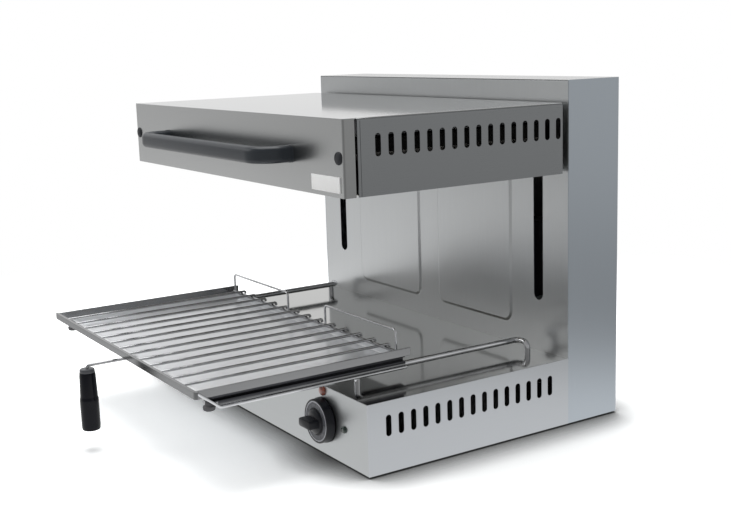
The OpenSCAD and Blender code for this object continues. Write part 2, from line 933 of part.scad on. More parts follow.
// Turned handgrip, narrower at the top
module rack_grip() {
    color("#17181a") placed() translate([0, grip_y, grip_top - grip_len])
        rotate_extrude($fn = 64)
            polygon([[0, 0], [9.6, 0], [11.6, 1], [grip_r, 3.6], [11.6, 44], [11, 45.5],
                     [9.6, grip_len - 4], [9.6, grip_len - 0.6], [9, grip_len],
                     [wire_r + 0.01, grip_len],
                     [wire_r + 0.01, grip_len - 30.01], [0, grip_len - 30.01]]);
}

// ---------------------------------------------------------------- nodes

base_front();
base_side_left();
base_side_right();
base_top();
base_floor();
feet();
column_front();
column_side_left();
column_side_right();
column_rear();
column_top();
rear_screws();
cable_gland();
terminal_block();
rail_left();
rail_right();
rail_nuts();
regulator();
lamp_red();
lamp_green();
knob();
knob_spindle();
guide_rods();
guide_brackets();
lift_buffers();
shaft_bearings();
idler_brackets();
lift_ropes();
lift_shaft();
idler_left();
idler_right();
counterweight();
hood_front();
hood_plugs();
hood_cover();
hood_rear();
hood_handle();
hood_reflector();
hood_insulation();
hood_beams();
element_front();
element_middle();
element_rear();
element_hangers();
carriage_left();
carriage_right();
carriage_bushings();
carriage_tie();
rope_clamps();
rack_front_bar();
rack_side_bars();
rack_rods();
rack_stops();
drip_tray();
runner_left();
runner_right();
rack_feet();
rack_handle();
rack_grip();
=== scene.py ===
"""Counter-top cheese melter: the dressed model of its cabinet, rising hood and pull-out rack."""

import logging
import math
from dataclasses import dataclass, field
from enum import Enum
from functools import cache
from typing import Any, ClassVar, Iterable, Sequence

import bmesh
import bpy
from mathutils import Matrix, Vector


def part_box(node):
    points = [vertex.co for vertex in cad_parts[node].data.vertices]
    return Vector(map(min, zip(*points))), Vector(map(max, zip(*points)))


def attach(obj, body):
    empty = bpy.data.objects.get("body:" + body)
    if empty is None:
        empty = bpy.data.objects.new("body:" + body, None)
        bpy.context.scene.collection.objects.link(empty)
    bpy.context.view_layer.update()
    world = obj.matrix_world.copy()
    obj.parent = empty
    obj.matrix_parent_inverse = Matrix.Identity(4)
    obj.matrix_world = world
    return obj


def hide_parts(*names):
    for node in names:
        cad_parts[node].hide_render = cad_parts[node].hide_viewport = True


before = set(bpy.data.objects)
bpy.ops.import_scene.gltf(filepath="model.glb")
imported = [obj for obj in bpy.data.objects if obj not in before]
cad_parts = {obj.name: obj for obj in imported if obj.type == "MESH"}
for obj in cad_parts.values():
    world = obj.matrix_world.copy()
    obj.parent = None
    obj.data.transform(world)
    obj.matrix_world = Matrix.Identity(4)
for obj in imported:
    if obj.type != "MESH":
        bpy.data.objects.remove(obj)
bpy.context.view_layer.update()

LOG = logging.getLogger("cheese_melter")

Point = tuple[float, float, float]
Colour = tuple[float, float, float]
Span = tuple[float, float]
Outline = list[Span]
Mesh = bmesh.types.BMesh

MM = 1000  # millimetres in a metre
MID_Y = 80.05  # from the base front to the middle of the frame, in millimetres
UP = Vector((0, 0, 1))
RIGHT = Vector((1, 0, 0))
FRONT = Vector((0, -1, 0))
BACK = Vector((0, 1, 0))
BLACK: Colour = (0.0, 0.0, 0.0)
WHITE: Colour = (1.0, 1.0, 1.0)


def at(x: float, y: float, z: float) -> Vector:
    """A place given in millimetres from the base front, as a vector in metres.

    Args:
        x: Distance to the right of the middle.
        y: Distance behind the base front.
        z: Height above the bench.

    Returns:
        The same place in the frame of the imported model.
    """
    return Vector((x, y - MID_Y, z)) / MM


class Side(Enum):
    """Side of the melter seen from the front, as the sign of its X."""

    LEFT = -1
    RIGHT = 1

    @property
    def word(self) -> str:
        """The side's name as it stands in the names of pieces and nodes."""
        return self.name.lower()


# ------------------------------------------------------------------ shader graph


class Socket:
    """An output of a shader node, on which Python's operators add Math nodes."""

    def __init__(self, graph: "Graph", output: Any) -> None:
        """Keeps the graph and the output that this value stands for."""
        self.graph = graph
        self.output = output

    def _math(self, operation: str, *values: "Socket | float") -> "Socket":
        """One Math node on the values."""
        return self.graph.node("ShaderNodeMath", {"operation": operation}, list(values))

    def __add__(self, other: "Socket | float") -> "Socket":
        """Sum of two values."""
        return self._math("ADD", self, other)

    def __radd__(self, other: float) -> "Socket":
        """Sum with a plain number on the left."""
        return self._math("ADD", other, self)

    def __sub__(self, other: "Socket | float") -> "Socket":
        """Difference of two values."""
        return self._math("SUBTRACT", self, other)

    def __rsub__(self, other: float) -> "Socket":
        """Difference from a plain number on the left."""
        return self._math("SUBTRACT", other, self)

    def __mul__(self, other: "Socket | float") -> "Socket":
        """Product of two values."""
        return self._math("MULTIPLY", self, other)

    def __pow__(self, other: "Socket | float") -> "Socket":
        """Power of a value."""
        return self._math("POWER", self, other)

    def step(self, low: float, high: float) -> "Socket":
        """Smooth rise.

        Args:
            low: Value up to which the result is 0.
            high: Value from which the result is 1.

        Returns:
            The risen value.
        """
        return self.graph.node(
            "ShaderNodeMapRange",
            {"interpolation_type": "SMOOTHSTEP", "clamp": True},
            {"Value": self, "From Min": low, "From Max": high},
        )

    def clamped(self) -> "Socket":
        """The value held between 0 and 1."""
        return self.graph.node("ShaderNodeClamp", {}, {"Value": self})


class Graph:
    """The node tree of one material, of the world or of a geometry rule."""

    MIX_ENDS = (6, 7)
    MIX_RESULT = 2

    def __init__(self, tree: bpy.types.NodeTree) -> None:
        """Takes a node tree and empties it."""
        self.tree = tree
        tree.nodes.clear()

    def node(
        self,
        kind: str,
        settings: dict[str, Any],
        values: dict[Any, Any] | Sequence[Any],
        output: int | str = 0,
    ) -> Socket:
        """Adds a node.

        Args:
            kind: Blender's name of the node's type.
            settings: Properties of the node, which are set first.
            values: Values or links of the inputs, by name or place, or in order.
            output: The output that is returned.

        Returns:
            The output, wrapped.
        """
        made = self.tree.nodes.new(kind)
        for name, value in settings.items():
            setattr(made, name, value)
        pairs = values.items() if isinstance(values, dict) else enumerate(values)
        for name, value in pairs:
            if isinstance(value, Socket):
                self.tree.links.new(value.output, made.inputs[name])
            else:
                made.inputs[name].default_value = value
        return Socket(self, made.outputs[output])

    def mix(self, factor: Socket | float, first: Any, second: Any) -> Socket:
        """Mix of two colours.

        Args:
            factor: Share of the second colour.
            first: A Socket or three numbers.
            second: A Socket or three numbers.

        Returns:
            The mixed colour.
        """
        four = [c if isinstance(c, Socket) else (*c, 1.0) for c in (first, second)]
        values = {0: factor, **dict(zip(self.MIX_ENDS, four))}
        return self.node("ShaderNodeMix", {"data_type": "RGBA"}, values, self.MIX_RESULT)

    def vector(self, operation: str, *values: Any, output: int | str = 0) -> Socket:
        """One Vector Math node on the values."""
        return self.node("ShaderNodeVectorMath", {"operation": operation}, values, output)

    def coordinates(self, kind: str = "Object") -> Socket:
        """The coordinates of one kind."""
        return self.node("ShaderNodeTexCoord", {}, {}, kind)

    def place(self, scale: Point = (1.0, 1.0, 1.0)) -> Socket:
        """Object coordinates, stretched by a Mapping node."""
        values = {"Vector": self.coordinates(), "Scale": scale}
        return self.node("ShaderNodeMapping", {}, values)

    def part(self, where: Socket, index: int) -> Socket:
        """One of the three parts of a vector."""
        return self.node("ShaderNodeSeparateXYZ", {}, [where], index)

    def noise(self, where: Socket, scale: float, detail: float, rough: float) -> Socket:
        """Noise at a place.

        Args:
            where: The place.
            scale: Waves in a metre.
            detail: Octaves of finer waves.
            rough: Strength of each finer octave.

        Returns:
            A value between about 0 and 1.
        """
        return self.node(
            "ShaderNodeTexNoise",
            {},
            {"Vector": where, "Scale": scale, "Detail": detail, "Roughness": rough},
            "Fac",
        )

    def bump(self, height: Socket) -> Socket:
        """Normal raised by a height in metres."""
        values = {"Height": height, "Distance": 1.0, "Strength": 1.0}
        return self.node("ShaderNodeBump", {}, values)

    def principled(self, values: dict[str, Any]) -> Socket:
        """Principled shader with the values or links of its sockets."""
        return self.node("ShaderNodeBsdfPrincipled", {}, values)

    def end(self, kind: str, shader: Socket) -> None:
        """Links a shader to an output node of the kind."""
        out = self.tree.nodes.new(kind)
        self.tree.links.new(shader.output, out.inputs["Surface"])


# ------------------------------------------------------------------ finishes


def scaled(colour: Colour, *shares: float) -> Colour:
    """A colour times a share.

    Args:
        colour: The colour.
        *shares: One share, or one for each of red, green and blue.

    Returns:
        The new colour, held at 1.
    """
    each = shares if len(shares) == 3 else shares * 3
    return tuple(min(1.0, c * share) for c, share in zip(colour, each))


class Grain(Enum):
    """Direction of the brushing on a sheet, as the stretch of its pattern."""

    ALONG_X = (1.0, 70.0, 70.0)
    ALONG_Y = (70.0, 1.0, 70.0)
    ALONG_Z = (70.0, 70.0, 1.0)


@dataclass(frozen=True)
class Finish:
    """A surface finish. Each kind fills in the graph in its own way.

    Attributes:
        name: Name of the finish.
        colour: Its main colour.
    """

    name: str
    colour: Colour

    @cache
    def build(self) -> bpy.types.Material:
        """Makes the material once.

        Returns:
            The material of this finish.
        """
        made = bpy.data.materials.new(f"melter_{self.name}")
        made.use_nodes = True
        graph = Graph(made.node_tree)
        graph.end("ShaderNodeOutputMaterial", self.shade(graph))
        return made

    def shade(self, graph: Graph) -> Socket:
        """The shader of this finish."""
        raise NotImplementedError


@dataclass(frozen=True)
class BrushedSteel(Finish):
    """Stainless sheet with a fine brushed grain, faint long streaks, handling marks and, where
    asked, folded ends darkened as painted shade.

    Attributes:
        grain: Direction of the brushing.
        roughness: Roughness in the middle of its range.
        streaks: Share by which a streak is darker or lighter.
        sweep: Depth of the brushing, in metres.
        sag: Depth of the sheet's slow waves, in metres, or 0 for none.
        mirror_above: Height in metres above which the sheet is polished, or 0 for none.
        painted_end_shade: Distance from the middle in metres beyond which the folded ends are
            painted darker, as painted shade at the bends, or 0 for none.
        metallic: How far the shader is metal.
    """

    MIRROR_ROUGHNESS = 0.07
    MIRROR_TINT = (0.50, 0.51, 0.51)
    MIRROR_EDGE = 0.0004
    END_SHADE_SHARE = 0.62
    END_SHADE_EDGE = 0.002
    FINE_SHARE = 0.8
    STREAK_ROUGHNESS = 0.06
    CLOUD_ROUGHNESS = 0.04

    grain: Grain = Grain.ALONG_X
    roughness: float = 0.28
    streaks: float = 0.012
    sweep: float = 0.000004
    sag: float = 0.0
    mirror_above: float = 0.0
    painted_end_shade: float = 0.0
    metallic: float = 1.0

    def shade(self, graph: Graph) -> Socket:
        """Metal whose roughness and tint follow the grain.

        Args:
            graph: The material's graph.

        Returns:
            The shader.
        """
        along = graph.place(self.grain.value)
        fine = graph.noise(along, scale=26.0, detail=3.0, rough=0.65)
        long = graph.noise(along, scale=3.2, detail=2.0, rough=0.55)
        cloud = graph.noise(graph.place(), scale=7.0, detail=3.0, rough=0.55)
        streak = fine * self.FINE_SHARE + long * (1.0 - self.FINE_SHARE)
        dark, light = (scaled(self.colour, 1.0 + s) for s in (-self.streaks, self.streaks))
        tint = graph.mix(streak.step(0.3, 0.7), dark, light)
        rough = self.roughness + (streak - 0.5) * self.STREAK_ROUGHNESS
        rough = rough + (cloud - 0.5) * self.CLOUD_ROUGHNESS
        if self.mirror_above:
            level = graph.part(graph.place(), 2)
            top = level.step(self.mirror_above - self.MIRROR_EDGE, self.mirror_above)
            rough = rough - top * (self.roughness - self.MIRROR_ROUGHNESS)
            tint = graph.mix(top, tint, self.MIRROR_TINT)
        # Painted shade: the folded ends are darkened in colour as if the bends fell into shade.
        if self.painted_end_shade:
            x = graph.part(graph.place(), 0)
            end = (x * x).step((self.painted_end_shade - self.END_SHADE_EDGE) ** 2, self.painted_end_shade**2)
            tint = graph.mix(end, tint, scaled(self.colour, self.END_SHADE_SHARE))
        height = fine * self.sweep
        if self.sag:
            wave = graph.noise(graph.place(), scale=2.4, detail=1.0, rough=0.4)
            height = height + wave * self.sag
        return graph.principled(
            {
                "Base Color": tint,
                "Metallic": self.metallic,
                "Roughness": rough,
                "Normal": graph.bump(height),
            }
        )


@dataclass(frozen=True)
class Chromed(Finish):
    """Bright plated wire and strip, with tiny ripples and a little tarnish.

    Attributes:
        roughness: Roughness in the middle of its range.
    """

    TARNISH = 0.82
    SPOT_ROUGHNESS = 0.10
    RIPPLE = 0.00002

    roughness: float = 0.12

    def shade(self, graph: Graph) -> Socket:
        """Metal with faint spots.

        Args:
            graph: The material's graph.

        Returns:
            The shader.
        """
        spots = graph.noise(graph.place(), scale=260.0, detail=3.0, rough=0.6)
        cloud = graph.noise(graph.place(), scale=30.0, detail=2.0, rough=0.5)
        tint = graph.mix(cloud.step(0.35, 0.7), self.colour, scaled(self.colour, self.TARNISH))
        return graph.principled(
            {
                "Base Color": tint,
                "Metallic": 1.0,
                "Roughness": self.roughness + (spots - 0.5) * self.SPOT_ROUGHNESS,
                "Normal": graph.bump(spots * self.RIPPLE),
            }
        )


@dataclass(frozen=True)
class Moulded(Finish):
    """Moulded plastic, rubber or ceramic with a fine eroded texture and rubbed patches.

    Attributes:
        roughness: Roughness in the middle of its range.
        grit: Depth of the texture, in metres.
        coat: Weight of the glossy skin on top.
        gloss: Specular level of the body.
    """

    WORN = 1.35
    WORN_LIFT = 0.004
    RUBBED_ROUGHNESS = 0.16
    COAT_ROUGHNESS = 0.12

    roughness: float = 0.4
    grit: float = 0.00003
    coat: float = 0.0
    gloss: float = 0.25

    def shade(self, graph: Graph) -> Socket:
        """Dielectric with a sheen that varies a little.

        Args:
            graph: The material's graph.

        Returns:
            The shader.
        """
        grit = graph.noise(graph.place(), scale=1400.0, detail=2.0, rough=0.5)
        rubbed = graph.noise(graph.place(), scale=22.0, detail=3.0, rough=0.55)
        worn = tuple(min(1.0, c * self.WORN + self.WORN_LIFT) for c in self.colour)
        return graph.principled(
            {
                "Base Color": graph.mix(rubbed.step(0.45, 0.8), self.colour, worn),
                "Roughness": self.roughness + (rubbed - 0.5) * self.RUBBED_ROUGHNESS,
                "Normal": graph.bump(grit * self.grit),
                "Coat Weight": self.coat,
                "Coat Roughness": self.COAT_ROUGHNESS,
                "Specular IOR Level": self.gloss,
            }
        )


@dataclass(frozen=True)
class Scorched(Finish):
    """Metal oxidised by heat, mottled brown and grey."""

    BROWNING = (1.25, 0.95, 0.75)
    METAL = 0.55
    FLECK = 0.00004

    def shade(self, graph: Graph) -> Socket:
        """Half-metallic surface with patches of oxide.

        Args:
            graph: The material's graph.

        Returns:
            The shader.
        """
        patch = graph.noise(graph.place(), scale=45.0, detail=4.0, rough=0.6)
        fleck = graph.noise(graph.place(), scale=420.0, detail=2.0, rough=0.5)
        brown = scaled(self.colour, *self.BROWNING)
        return graph.principled(
            {
                "Base Color": graph.mix(patch.step(0.35, 0.7), self.colour, brown),
                "Metallic": self.METAL,
                "Roughness": 0.42 + patch * 0.25,
                "Normal": graph.bump(fleck * self.FLECK),
            }
        )


@dataclass(frozen=True)
class Fibrous(Finish):
    """Pressed mineral wool board."""

    LAY = (1.0, 6.0, 3.0)
    PALE = 1.4
    PILE = 0.0006

    def shade(self, graph: Graph) -> Socket:
        """Matt fibres that lie mostly one way.

        Args:
            graph: The material's graph.

        Returns:
            The shader.
        """
        wool = graph.noise(graph.place(self.LAY), scale=180.0, detail=4.0, rough=0.7)
        tint = graph.mix(wool.step(0.3, 0.7), self.colour, scaled(self.colour, self.PALE))
        normal = graph.bump(wool * self.PILE)
        return graph.principled({"Base Color": tint, "Roughness": 0.95, "Normal": normal})


@dataclass(frozen=True)
class TintedLens(Finish):
    """Coloured lamp lens, dark because the lamp behind it is off."""

    DEPTH = 0.45

    def shade(self, graph: Graph) -> Socket:
        """Deep colour under a clear coat.

        Args:
            graph: The material's graph.

        Returns:
            The shader.
        """
        depth = graph.noise(graph.place(), scale=240.0, detail=2.0, rough=0.5)
        tint = graph.mix(depth.step(0.3, 0.7), scaled(self.colour, self.DEPTH), self.colour)
        return graph.principled(
            {"Base Color": tint, "Roughness": 0.16, "Coat Weight": 0.8, "Coat Roughness": 0.05}
        )


class Finishes:
    """Every finish of the melter, by what it is on."""

    COVER_TOP = 0.4168  # metres up to the polished top of the hood's cover

    hood_front = BrushedSteel(
        "hood_front_satin_painted_end_shade",
        (0.50, 0.508, 0.506),
        Grain.ALONG_X,
        0.25,
        mirror_above=COVER_TOP,
        # Beyond this distance the folded ends are darkened as painted shade.
        painted_end_shade=0.2992,
    )
    # The cover's sides are darkened to about half the front's colour as painted shade; the
    # polished top above COVER_TOP gets the sheet's own lighter tint.
    hood_side = BrushedSteel(
        "hood_side_satin_painted_shade",
        (0.245, 0.254, 0.26),
        Grain.ALONG_Y,
        0.28,
        mirror_above=COVER_TOP,
    )
    base_front = BrushedSteel("base_front_satin", (0.44, 0.455, 0.46), Grain.ALONG_X, 0.32)
    base_side = BrushedSteel("base_side_satin", (0.47, 0.489, 0.511), Grain.ALONG_Y, 0.30)
    column_side = BrushedSteel("column_side_satin", (0.425, 0.465, 0.505), Grain.ALONG_Z, 0.30)
    column_rear = BrushedSteel("column_rear_satin", (0.55, 0.55, 0.55), Grain.ALONG_X, 0.34)
    column_cap = BrushedSteel("column_cap_satin", (0.30, 0.31, 0.31), Grain.ALONG_X, 0.12)
    splash = BrushedSteel(
        "splash_polished",
        (0.57, 0.584, 0.59),
        Grain.ALONG_Z,
        0.30,
        streaks=0.02,
        sweep=0.000003,
        sag=0.0002,
    )
    deck = BrushedSteel(
        "deck_polished",
        (0.37, 0.37, 0.362),
        Grain.ALONG_X,
        0.10,
        streaks=0.02,
        sweep=0.000003,
        sag=0.0003,
    )
    tray = BrushedSteel(
        "tray_bright",
        (0.95, 0.965, 0.985),
        Grain.ALONG_Y,
        0.24,
        streaks=0.015,
        sweep=0.0000006,
        metallic=0.6,
    )
    reflector = BrushedSteel("reflector_bright", (0.70, 0.68, 0.64), Grain.ALONG_X, 0.2)
    plain = BrushedSteel("plain_steel", (0.42, 0.43, 0.44), Grain.ALONG_X, 0.38)
    # Near-black steel: painted shade of the inside of the base.
    shaded = BrushedSteel("inner_sheet_painted_shade", (0.05, 0.05, 0.052), Grain.ALONG_X, 0.5)
    strip = BrushedSteel("rack_strip", (0.27, 0.274, 0.28), Grain.ALONG_Y, 0.12, 0.03)
    front_strip = BrushedSteel(
        "rack_front_strip", (0.19, 0.194, 0.198), Grain.ALONG_X, 0.18, 0.03
    )
    chrome = Chromed("bright_chrome", (0.66, 0.67, 0.69), 0.04)
    # Near-black plate: painted shade of the recess under the rack's side bars, not a real
    # coating.
    channel = Chromed("channel_painted_shade", (0.07, 0.072, 0.08), 0.3)
    wire = Chromed("rack_wire", (0.43, 0.435, 0.445), 0.10)
    rope = Chromed("wire_rope", (0.25, 0.26, 0.27), 0.4)
    bronze = Chromed("bushing_bronze", (0.45, 0.31, 0.16), 0.35)
    iron = Moulded("cast_iron", (0.05, 0.05, 0.055), 0.6, grit=0.0002)
    handle = Moulded(
        "handle_plastic", (0.019, 0.024, 0.031), 0.36, grit=0.00003, coat=0.05, gloss=0.42
    )
    plug = Moulded("plug_plastic", (0.020, 0.022, 0.026), 0.42)
    knob = Moulded("knob_moulding", (0.009, 0.010, 0.014), 0.33, grit=0.00002, coat=0.05)
    grip = Moulded(
        "grip_plastic", (0.002, 0.0025, 0.006), 0.17, grit=0.00001, coat=0.06, gloss=0.16
    )
    cap = Moulded("grip_cap", (0.06, 0.063, 0.072), 0.3, gloss=0.6)
    rubber = Moulded("black_rubber", (0.018, 0.018, 0.019), 0.7, grit=0.0001)
    # Black rubber greyed as painted light, to soften how dark the rack feet look.
    rubber_painted_light = Moulded("rubber_painted_light", (0.13, 0.13, 0.135), 0.6, grit=0.0001)
    ceramic = Moulded("steatite", (0.62, 0.58, 0.50), 0.35, grit=0.00002, coat=0.3)
    dial = Moulded("dial_print", (0.13, 0.135, 0.15), 0.35)
    print_white = Moulded("dial_line_print", (0.62, 0.63, 0.67), 0.4)
    print_dark = Moulded("dial_mark_print", (0.04, 0.042, 0.05), 0.4)
    enamel = Moulded("white_plate", (0.95, 0.95, 0.94), 0.3, grit=0.00001, coat=0.3)
    sheath = Scorched("heater_sheath", (0.11, 0.10, 0.09))
    # Wool board darkened to near black as painted shade inside the hood, so that the vents look
    # black.
    wool = Fibrous("mineral_wool", (0.012, 0.012, 0.011))
    red = TintedLens("red_lens", (0.34, 0.08, 0.045))
    green = TintedLens("green_lens", (0.006, 0.028, 0.018))


# ------------------------------------------------------------------ mesh helpers


def full_turn(sides: int) -> list[float]:
    """Angles of the corners of a regular polygon, in radians."""
    return [2 * math.pi * i / sides for i in range(sides)]


def arc(
    centre: Sequence[float], radius: float, start: float, end: float, steps: int
) -> list[tuple[float, float]]:
    """Points on an arc in a plane.

    Args:
        centre: Middle of the arc.
        radius: Its radius.
        start: Angle of the first point, in degrees.
        end: Angle of the last point, in degrees.
        steps: Straight pieces in the arc.

    Returns:
        The points.
    """
    turn = [math.radians(start + (end - start) * i / steps) for i in range(steps + 1)]
    x, y = centre
    return [(x + radius * math.cos(a), y + radius * math.sin(a)) for a in turn]


def rounded_path(corners: Sequence[Vector], radius: float, steps: int = 8) -> list[Vector]:
    """A path through corners, each rounded by an arc.

    Args:
        corners: The corner points, in metres.
        radius: Radius of each bend, in millimetres.
        steps: Straight pieces in a bend.

    Returns:
        The points of the path.
    """
    radius /= MM
    path = [corners[0].copy()]
    for before, corner, after in zip(corners, corners[1:], corners[2:]):
        inward, outward = (before - corner).normalized(), (after - corner).normalized()
        half = inward.angle(outward) / 2
        reach = radius / math.tan(half)
        middle = (inward + outward).normalized() * (radius / math.sin(half)) + corner
        first, last = corner + inward * reach - middle, corner + outward * reach - middle
        swing = first.angle(last)
        axis = first.cross(last).normalized()
        for i in range(steps + 1):
            path.append(middle + Matrix.Rotation(swing * i / steps, 3, axis) @ first)
    path.append(corners[-1].copy())
    return path


def circle_section(radius: float, sides: int = 16) -> Outline:
    """Round section of a rod."""
    return [(radius * math.cos(a), radius * math.sin(a)) for a in full_turn(sides)]


def box_section(wide: float, tall: float, corner: float, steps: int = 5) -> Outline:
    """Rectangular section with round corners.

    Args:
        wide: Size across.
        tall: Size upwards.
        corner: Radius of the corners.
        steps: Straight pieces in a corner.

    Returns:
        The points of the section.
    """
    points: Outline = []
    for quarter, (sx, sy) in enumerate(((1, 1), (-1, 1), (-1, -1), (1, -1))):
        centre = (sx * (wide / 2 - corner), sy * (tall / 2 - corner))
        points += arc(centre, corner, 90 * quarter, 90 * quarter + 90, steps)
    return points


def bridge(made: Mesh, rings: Sequence[Sequence[Any]]) -> None:
    """Makes the walls between rings that have the same number of points.

    Args:
        made: The mesh that the rings are in.
        rings: The rings, in order.
    """
    for first, second in zip(rings, rings[1:]):
        for i in range(len(first)):
            j = (i + 1) % len(first)
            made.faces.new((first[i], first[j], second[j], second[i]))


def point_outwards(made: Mesh) -> Mesh:
    """Turns the faces outwards and gives the mesh back."""
    bmesh.ops.recalc_face_normals(made, faces=made.faces)
    return made


def sweep(path: Sequence[Vector], section: Outline, up: Vector = UP, dome: float = 0.0) -> Mesh:
    """A section carried along a path, closed at both ends.

    Args:
        path: Points of the middle line, in metres.
        section: Points of the section, across and upwards, in metres.
        up: Direction in which the section's upward side starts.
        dome: How far the ends bulge outwards, in metres.

    Returns:
        The mesh.
    """
    tangents = []
    for i in range(len(path)):
        before, after = path[max(0, i - 1)], path[min(len(path) - 1, i + 1)]
        tangents.append((after - before).normalized())
    stations = [(p, t, 1.0) for p, t in zip(path, tangents)]
    if dome:
        bulge = ((1.0, 0.3), (0.7, 0.72))
        start, end = tangents[0], tangents[-1]
        head = [(path[0] - start * dome * s, start, size) for s, size in bulge]
        tail = [(path[-1] + end * dome * s, end, size) for s, size in reversed(bulge)]
        stations = head + stations + tail
    made = bmesh.new()
    rings: list[list[Any]] = []
    last = stations[0][1]
    lift = (up - last * up.dot(last)).normalized()
    for place, tangent, size in stations:
        lift = last.rotation_difference(tangent) @ lift
        lift = (lift - tangent * lift.dot(tangent)).normalized()
        last = tangent
        side = tangent.cross(lift)
        rings.append([made.verts.new(place + (side * u + lift * v) * size) for u, v in section])
    bridge(made, rings)
    made.faces.new(list(reversed(rings[0])))
    made.faces.new(rings[-1])
    return point_outwards(made)


def lathe(profile: Outline, origin: Vector, axis: Vector, sides: int = 48) -> Mesh:
    """A profile of radius and height turned about an axis.

    Args:
        profile: Pairs of radius and height in millimetres, from end to end.
        origin: Where height 0 is, in metres.
        axis: Direction of the height.
        sides: Number of facets round it.

    Returns:
        The closed mesh.
    """
    made = bmesh.new()
    helper = RIGHT if axis == UP else UP
    first = axis.cross(helper).normalized()
    second = axis.cross(first)
    spokes = [first * math.cos(a) + second * math.sin(a) for a in full_turn(sides)]
    rings: list[list[Any]] = []
    for radius, height in profile:
        foot = origin + axis * (height / MM)
        round_foot = [foot + s * (radius / MM) for s in spokes] if radius else [foot]
        rings.append([made.verts.new(p) for p in round_foot])
    for lower, upper in zip(rings, rings[1:]):
        for i in range(sides):
            j = (i + 1) % sides
            walls = ((lower, i), (lower, j), (upper, j), (upper, i))
            unique = list(dict.fromkeys(ring[k % len(ring)] for ring, k in walls))
            if len(unique) > 2:
                made.faces.new(unique)
    for ring in (rings[0], rings[-1]):
        if len(ring) > 2:
            made.faces.new(ring)
    return point_outwards(made)


def merge(*parts: Mesh) -> Mesh:
    """One mesh from several.

    Args:
        *parts: The meshes, which are freed.

    Returns:
        The whole.
    """
    whole = bmesh.new()
    for part in parts:
        scratch = bpy.data.meshes.new("scratch")
        part.to_mesh(scratch)
        part.free()
        whole.from_mesh(scratch)
        bpy.data.meshes.remove(scratch)
    return whole


def rounded_box(low: Vector, high: Vector, radius: float, steps: int = 2) -> Mesh:
    """A box with rounded edges.

    Args:
        low: Its lowest corner, in metres.
        high: Its highest corner, in metres.
        radius: Radius of the edges, in millimetres.
        steps: Straight pieces in an edge.

    Returns:
        The mesh.
    """
    made = bmesh.new()
    bmesh.ops.create_cube(made, size=1.0)
    middle, size = (low + high) / 2, high - low
    for vertex in made.verts:
        vertex.co = Vector(c * s for c, s in zip(vertex.co, size)) + middle
    edges = list(made.edges)
    bmesh.ops.bevel(
        made, geom=edges, offset=radius / MM, segments=steps, profile=0.5, affect="EDGES"
    )
    return made


def slab(
    limits: Sequence[float], radius: float, side: Side = Side.RIGHT, steps: int = 2
) -> Mesh:
    """A box with rounded edges on the right side, or its twin on the left.

    Args:
        limits: Lowest and highest X, Y and Z on the right side, in millimetres.
        radius: Radius of the edges, in millimetres.
        side: The side that it is made for.
        steps: Straight pieces in an edge.

    Returns:
        The mesh.
    """
    x0, x1, y0, y1, z0, z1 = limits
    left, right = sorted((x0 * side.value, x1 * side.value))
    return rounded_box(at(left, y0, z0), at(right, y1, z1), radius, steps)


def mirrored(part: Mesh) -> Mesh:
    """A part and its twin across the middle.

    Args:
        part: The part, which is freed.

    Returns:
        Both as one mesh.
    """
    other = part.copy()
    bmesh.ops.scale(other, vec=(-1, 1, 1), verts=other.verts)
    bmesh.ops.reverse_faces(other, faces=other.faces)
    return merge(part, other)


def path_mesh(points: Sequence[Vector]) -> Mesh:
    """A path as a chain of edges, for a rule that follows it.

    Args:
        points: Points of the path, in metres.

    Returns:
        The chain.
    """
    made = bmesh.new()
    spots = [made.verts.new(p) for p in points]
    for first, second in zip(spots, spots[1:]):
        made.edges.new((first, second))
    return made


# ------------------------------------------------------------------ geometry rules


